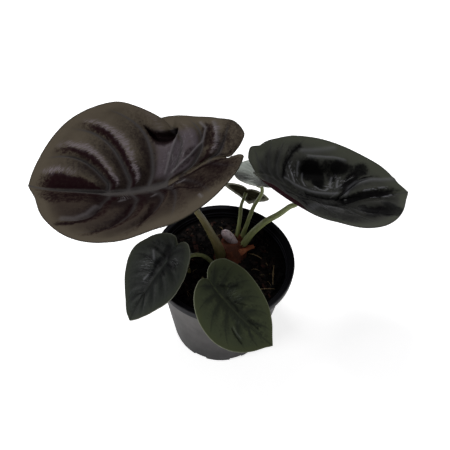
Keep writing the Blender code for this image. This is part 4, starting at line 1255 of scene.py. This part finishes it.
def make_pot():
    lip_bottom = POT_HEIGHT - LIP_HEIGHT
    inner_top = wall_radius(POT_HEIGHT) - WALL
    lip_middle = POT_HEIGHT - LIP_ROUNDING
    inner_edge = arc((inner_top + LIP_ROUNDING, lip_middle), LIP_ROUNDING, 180, 90)
    lip = arc((LIP_RADIUS - LIP_ROUNDING, lip_middle), LIP_ROUNDING, 90, 0)
    foot = arc((BASE_RADIUS - FOOT_ROUNDING, FOOT_ROUNDING), FOOT_ROUNDING, 0, -90)
    step = POT_HEIGHT - 14
    profile = [
        (0, FLOOR),
        (wall_radius(FLOOR) - WALL - 1, FLOOR),
        (wall_radius(FLOOR) - WALL, FLOOR + 1),
        (wall_radius(step) - WALL, step),
        *bead(RING_HEIGHTS[0]),
        *bead(RING_HEIGHTS[1]),
        *inner_edge,
        (inner_top + 2.2, POT_HEIGHT - 0.12),
        *lip,
        (LIP_RADIUS - 0.3, lip_bottom + 0.4),
        (LIP_RADIUS - 0.7, lip_bottom),
        (wall_radius(lip_bottom) + 0.3, lip_bottom - 0.2),
        (wall_radius(lip_bottom), lip_bottom - 0.6),
        (wall_radius(lip_bottom - 3), lip_bottom - 3),
        (wall_radius(20), 20),
        (wall_radius(4), 4),
        *foot,
        (GROOVE_RADII[1], 0),
        (GROOVE_RADII[1] - GROOVE_DEPTH, GROOVE_DEPTH),
        (GROOVE_RADII[0] + GROOVE_DEPTH, GROOVE_DEPTH),
        (GROOVE_RADII[0], 0),
        (0, 0),
    ]
    pot = turned("pot_shell", profile)
    slots = bpy.data.collections.new("slots")
    bpy.context.scene.collection.children.link(slots)
    outer = BASE_RADIUS + 4
    place = Matrix.Translation(((DRAIN_INNER_RADIUS + outer) / 2 * MM, 0, 0))
    size = ((outer - DRAIN_INNER_RADIUS) * MM, DRAIN_WIDTH * MM, 2 * DRAIN_HEIGHT * MM, 1)
    for i in range(DRAIN_SLOTS):
        turn = Matrix.Rotation(2 * math.pi * (i + 0.5) / DRAIN_SLOTS, 4, "Z")
        work = bmesh.new()
        bmesh.ops.create_cube(work, size=1)
        bmesh.ops.transform(work, matrix=turn @ place @ Matrix.Diagonal(size), verts=work.verts)
        upright = [e for e in work.edges if abs(e.verts[0].co.z - e.verts[1].co.z) > 0.001]
        bmesh.ops.bevel(work, geom=upright, offset=0.0015, segments=3, affect="EDGES", profile=0.5)
        cutter = bpy.data.objects.new(f"slot_{i}", mesh_from(work, f"slot_{i}"))
        slots.objects.link(cutter)
    boolean = pot.modifiers.new("slots", "BOOLEAN")
    boolean.operation = "DIFFERENCE"
    boolean.operand_type = "COLLECTION"
    boolean.collection = slots
    boolean.solver = "EXACT"
    mesh = evaluated(pot)
    for cutter in list(slots.objects):
        bpy.data.objects.remove(cutter)
    bpy.data.collections.remove(slots)
    mesh.materials.clear()
    mesh.shade_smooth()
    mesh.set_sharp_from_angle(angle=math.radians(38))
    finished("pot_shell", mesh, [plastic_material()], "black_plastic", "pot")


# Growing mix

def soil_height(x, y):
    """Height of the mix's rough low dome at a place."""
    radius = math.hypot(x, y)
    dome = SOIL_EDGE + SOIL_RISE * math.cos(min(radius / SOIL_REACH, 1) * math.pi / 2)
    at = Vector((x, y, 0))
    lumps = 1.1 * noise.noise(at * 0.11) + 0.7 * noise.noise(at * 0.33) + 0.35 * noise.noise(at * 0.9)
    return dome + lumps


def soil_radius(height):
    return wall_radius(height) - WALL - SOIL_GAP


def make_soil():
    """The mix's rough top, in rings from its middle, and its plain sides and bottom."""
    edge, low = soil_radius(SOIL_EDGE), FLOOR + SOIL_GAP
    rings, turns = 90, 220
    work = bmesh.new()
    middle = work.verts.new((0, 0, soil_height(0, 0) * MM))
    bottom = work.verts.new((0, 0, low * MM))
    loops = []
    sizes = [(edge * ring / rings, None) for ring in range(1, rings + 1)]
    for radius, height in (*sizes, (soil_radius(40), 40), (soil_radius(low), low)):
        places = [polar(radius, 2 * math.pi * step / turns) for step in range(turns)]
        tops = [(x * MM, y * MM, (height or soil_height(x, y)) * MM) for x, y in places]
        loops.append([work.verts.new(top) for top in tops])
    for step in range(turns):
        after = (step + 1) % turns
        work.faces.new((middle, loops[0][step], loops[0][after]))
        work.faces.new((bottom, loops[-1][after], loops[-1][step]))
        for inner, outer in zip(loops, loops[1:]):
            work.faces.new((inner[step], outer[step], outer[after], inner[after]))
    finished("mix_bed", mesh_from(work, "mix_bed"), [soil_material()], "bark_mix", "soil")


def free_circles():
    """Circles of the mix that chips keep out of, round the crown, the front stalks and the shoots."""
    circles = [(*CROWN_MIDDLE[:2], CROWN_CLEARANCE)]
    for name, leaf in LEAVES.items():
        if name not in CROWN_LEAVES:
            circles.append((*leaf["route"][1][:2], 2.6))
    return circles + [(x, y, radius + 0.6) for x, y, radius, _ in NUBS]


def chip_into(work, tones, draw, x, y, size, tone, lift):
    """Adds one bark chip: a bevelled, uneven block that lies on the mix."""
    corners = bmesh.ops.create_cube(work, size=1)["verts"]
    for corner in corners:
        corner.co = Vector([value * draw.uniform(0.6, 1.15) for value in corner.co])
    turn = Matrix.Rotation(draw.uniform(0, math.pi), 4, "Z")
    lean = Matrix.Rotation(draw.gauss(0, 0.35), 4, "X") @ Matrix.Rotation(draw.gauss(0, 0.35), 4, "Y")
    place = Matrix.Translation(Vector((x, y, soil_height(x, y) + lift)) * MM)
    sized = Matrix.Diagonal((*[side * MM for side in size], 1))
    bmesh.ops.transform(work, matrix=place @ turn @ lean @ sized, verts=corners)
    edges = list({edge for corner in corners for edge in corner.link_edges})
    width = min(size) * 0.16 * MM
    made = bmesh.ops.bevel(work, geom=edges, offset=width, segments=1, affect="EDGES", profile=0.5)
    for vertex in made["verts"]:
        tones[vertex] = tone


def make_chips():
    """Bark chips of all sizes strewn over the mix, darker ones first, with a few red and pale ones."""
    draw = random.Random(CHIPS_SEED)
    circles = free_circles()
    for name, (count, sizes, dark, light) in CHIPS.items():
        work = bmesh.new()
        tones = {}
        placed = 0
        while placed < count:
            angle = draw.uniform(0, 2 * math.pi)
            distance = CHIPS_FIELD * math.sqrt(draw.random())
            x, y = polar(distance, angle)
            length = draw.uniform(*sizes)
            reach = length * 0.5
            if distance + reach > CHIPS_LIMIT:
                continue
            if any(math.hypot(x - a, y - b) < reach + radius for a, b, radius in circles):
                continue
            size = (length, length * draw.uniform(0.35, 0.75), max(0.5, length * draw.uniform(0.15, 0.4)))
            chip_into(work, tones, draw, x, y, size, draw.random(), size[2] * draw.uniform(0, 0.45))
            placed += 1
        layer = work.verts.layers.float.new("tone")
        for vertex, tone in tones.items():
            if vertex.is_valid:
                vertex[layer] = tone
        mesh = mesh_from(work, name)
        mesh.set_sharp_from_angle(angle=math.radians(30))
        finished(name, mesh, [bark_material(f"{name}_bark", dark, light)], "bark_mix")


def make_straws():
    """Coir fibres and straw: thin bent stems that lie on the mix."""
    draw = random.Random(STRAWS_SEED)
    finish = plain_material("straw", (0.12, 0.08, 0.035), (0.2, 0.145, 0.07), 0.6, 600)
    straws = list(LAID_STRAWS)
    for _ in range(STRAWS_TRIED):
        angle, distance = draw.uniform(0, 2 * math.pi), STRAWS_FIELD * math.sqrt(draw.random())
        start = polar(distance, angle)
        turn, length = draw.uniform(0, 2 * math.pi), draw.uniform(3, 8)
        end = tuple(a + b for a, b in zip(start, polar(length, turn)))
        clear = all(math.dist(place, STRAWS_CLEAR_OF) > STRAWS_CLEARANCE for place in (start, end))
        if math.hypot(*end) < STRAWS_LIMIT and clear:
            straws.append((start, end, draw.uniform(0.12, 0.26)))
    work = bmesh.new()
    for (x, y), (end_x, end_y), radius in straws:
        points = []
        bow = draw.uniform(-1.2, 1.2)
        for share in (0, 0.25, 0.5, 0.75, 1):
            arch = math.sin(math.pi * share)
            at_x, at_y = x + (end_x - x) * share + bow * arch, y + (end_y - y) * share
            points.append(Vector((at_x, at_y, soil_height(at_x, at_y) + 1.0 + 0.8 * arch)))
        work.from_mesh(stem_mesh("straw", points, [radius * w for w in (0.8, 1, 1, 1, 0.7)], 2, 4))
    finished("straw_bits", mesh_from(work, "straw_bits"), [finish], "bark_mix")


# Stage

def make_floor():
    nodes = new_material("floor_paper")
    paper = nodes.mixed(nodes.texture(30, 2), (0.93, 0.93, 0.93), (0.95, 0.95, 0.95))
    glow = {"Emission Color": (1, 1, 1), "Emission Strength": FLOOR_GLOW}
    bpy.ops.mesh.primitive_circle_add(vertices=96, radius=6, fill_type="NGON")
    floor = bpy.context.object
    floor.name = "floor"
    floor.location = (0, 0, -0.0002)
    floor.data.materials.append(nodes.finish(paper, 0.9, 0.1, more=glow))


def make_lights():
    for name, (place, size, power) in LIGHTS.items():
        light = bpy.data.lights.new(name, "AREA")
        light.shape = "DISK"
        light.size = size
        light.energy = power
        lamp = linked(name, light)
        lamp.location = place
        lamp.rotation_euler = (Vector(LIGHTS_AIM) - Vector(place)).to_track_quat("-Z", "Y").to_euler()


def make_world():
    """Pale round the horizon, dim overhead, and dark in front and to the right, as glossy blades show."""
    world = bpy.data.worlds.new("studio")
    bpy.context.scene.world = world
    nodes = Nodes(world)
    way = nodes.put("SeparateXYZ", {"Vector": nodes.put("TexCoord").outputs["Generated"]}).outputs
    colour = nodes.uneven(way["Z"], 0.08, 0.5, 1, (0.45, 0.45, 0.46), (0.2, 0.2, 0.21))
    front = nodes.times(nodes.ranged(way["Y"], 0.1, -0.5), nodes.ranged(way["Z"], 0.1, 0.4))
    colour = nodes.mixed(front, colour, (0.05, 0.05, 0.055))
    colour = nodes.uneven(way["X"], 0, 0.9, 0.6, colour, (0.1, 0.1, 0.1))
    background = nodes.tree.nodes["Background"].inputs
    nodes.feed(background["Color"], colour)
    nodes.feed(background["Strength"], 0.65)


def make_camera():
    elevation = math.radians(CAMERA_ELEVATION)
    back = Vector((0, -math.cos(elevation), math.sin(elevation)))
    right = Vector((1, 0, 0))
    up = back.cross(right)
    roll = math.radians(CAMERA_ROLL)
    rolled_right = right * math.cos(roll) + up * math.sin(roll)
    rolled_up = up * math.cos(roll) - right * math.sin(roll)
    camera = linked("camera", bpy.data.cameras.new("camera"))
    camera.data.sensor_width = 36
    camera.data.lens = CAMERA_LENS
    camera.data.clip_start = 0.01
    turn = Matrix((rolled_right, rolled_up, back)).transposed()
    place = (Vector(CAMERA_TARGET) + back * CAMERA_DISTANCE) * MM
    camera.matrix_world = Matrix.Translation(place) @ turn.to_4x4()
    bpy.context.scene.camera = camera


def build():
    make_camera()
    olive = petiole_material("stalk_olive", (0.13, 0.118, 0.045), (0.17, 0.135, 0.055), (0.2, 0.195, 0.085))
    green = petiole_material("stalk_green", (0.21, 0.24, 0.09), (0.18, 0.21, 0.075), (0.33, 0.36, 0.2))
    for name, leaf in LEAVES.items():
        make_blade(name, leaf)
        make_petiole(name, leaf, green if name in PALE_STALKS else olive)
    make_crown()
    make_flap()
    make_bud()
    make_nubs()
    make_pot()
    make_soil()
    make_chips()
    make_straws()
    make_floor()
    make_world()
    make_lights()
    bpy.context.scene.view_settings.view_transform = "Standard"


build()
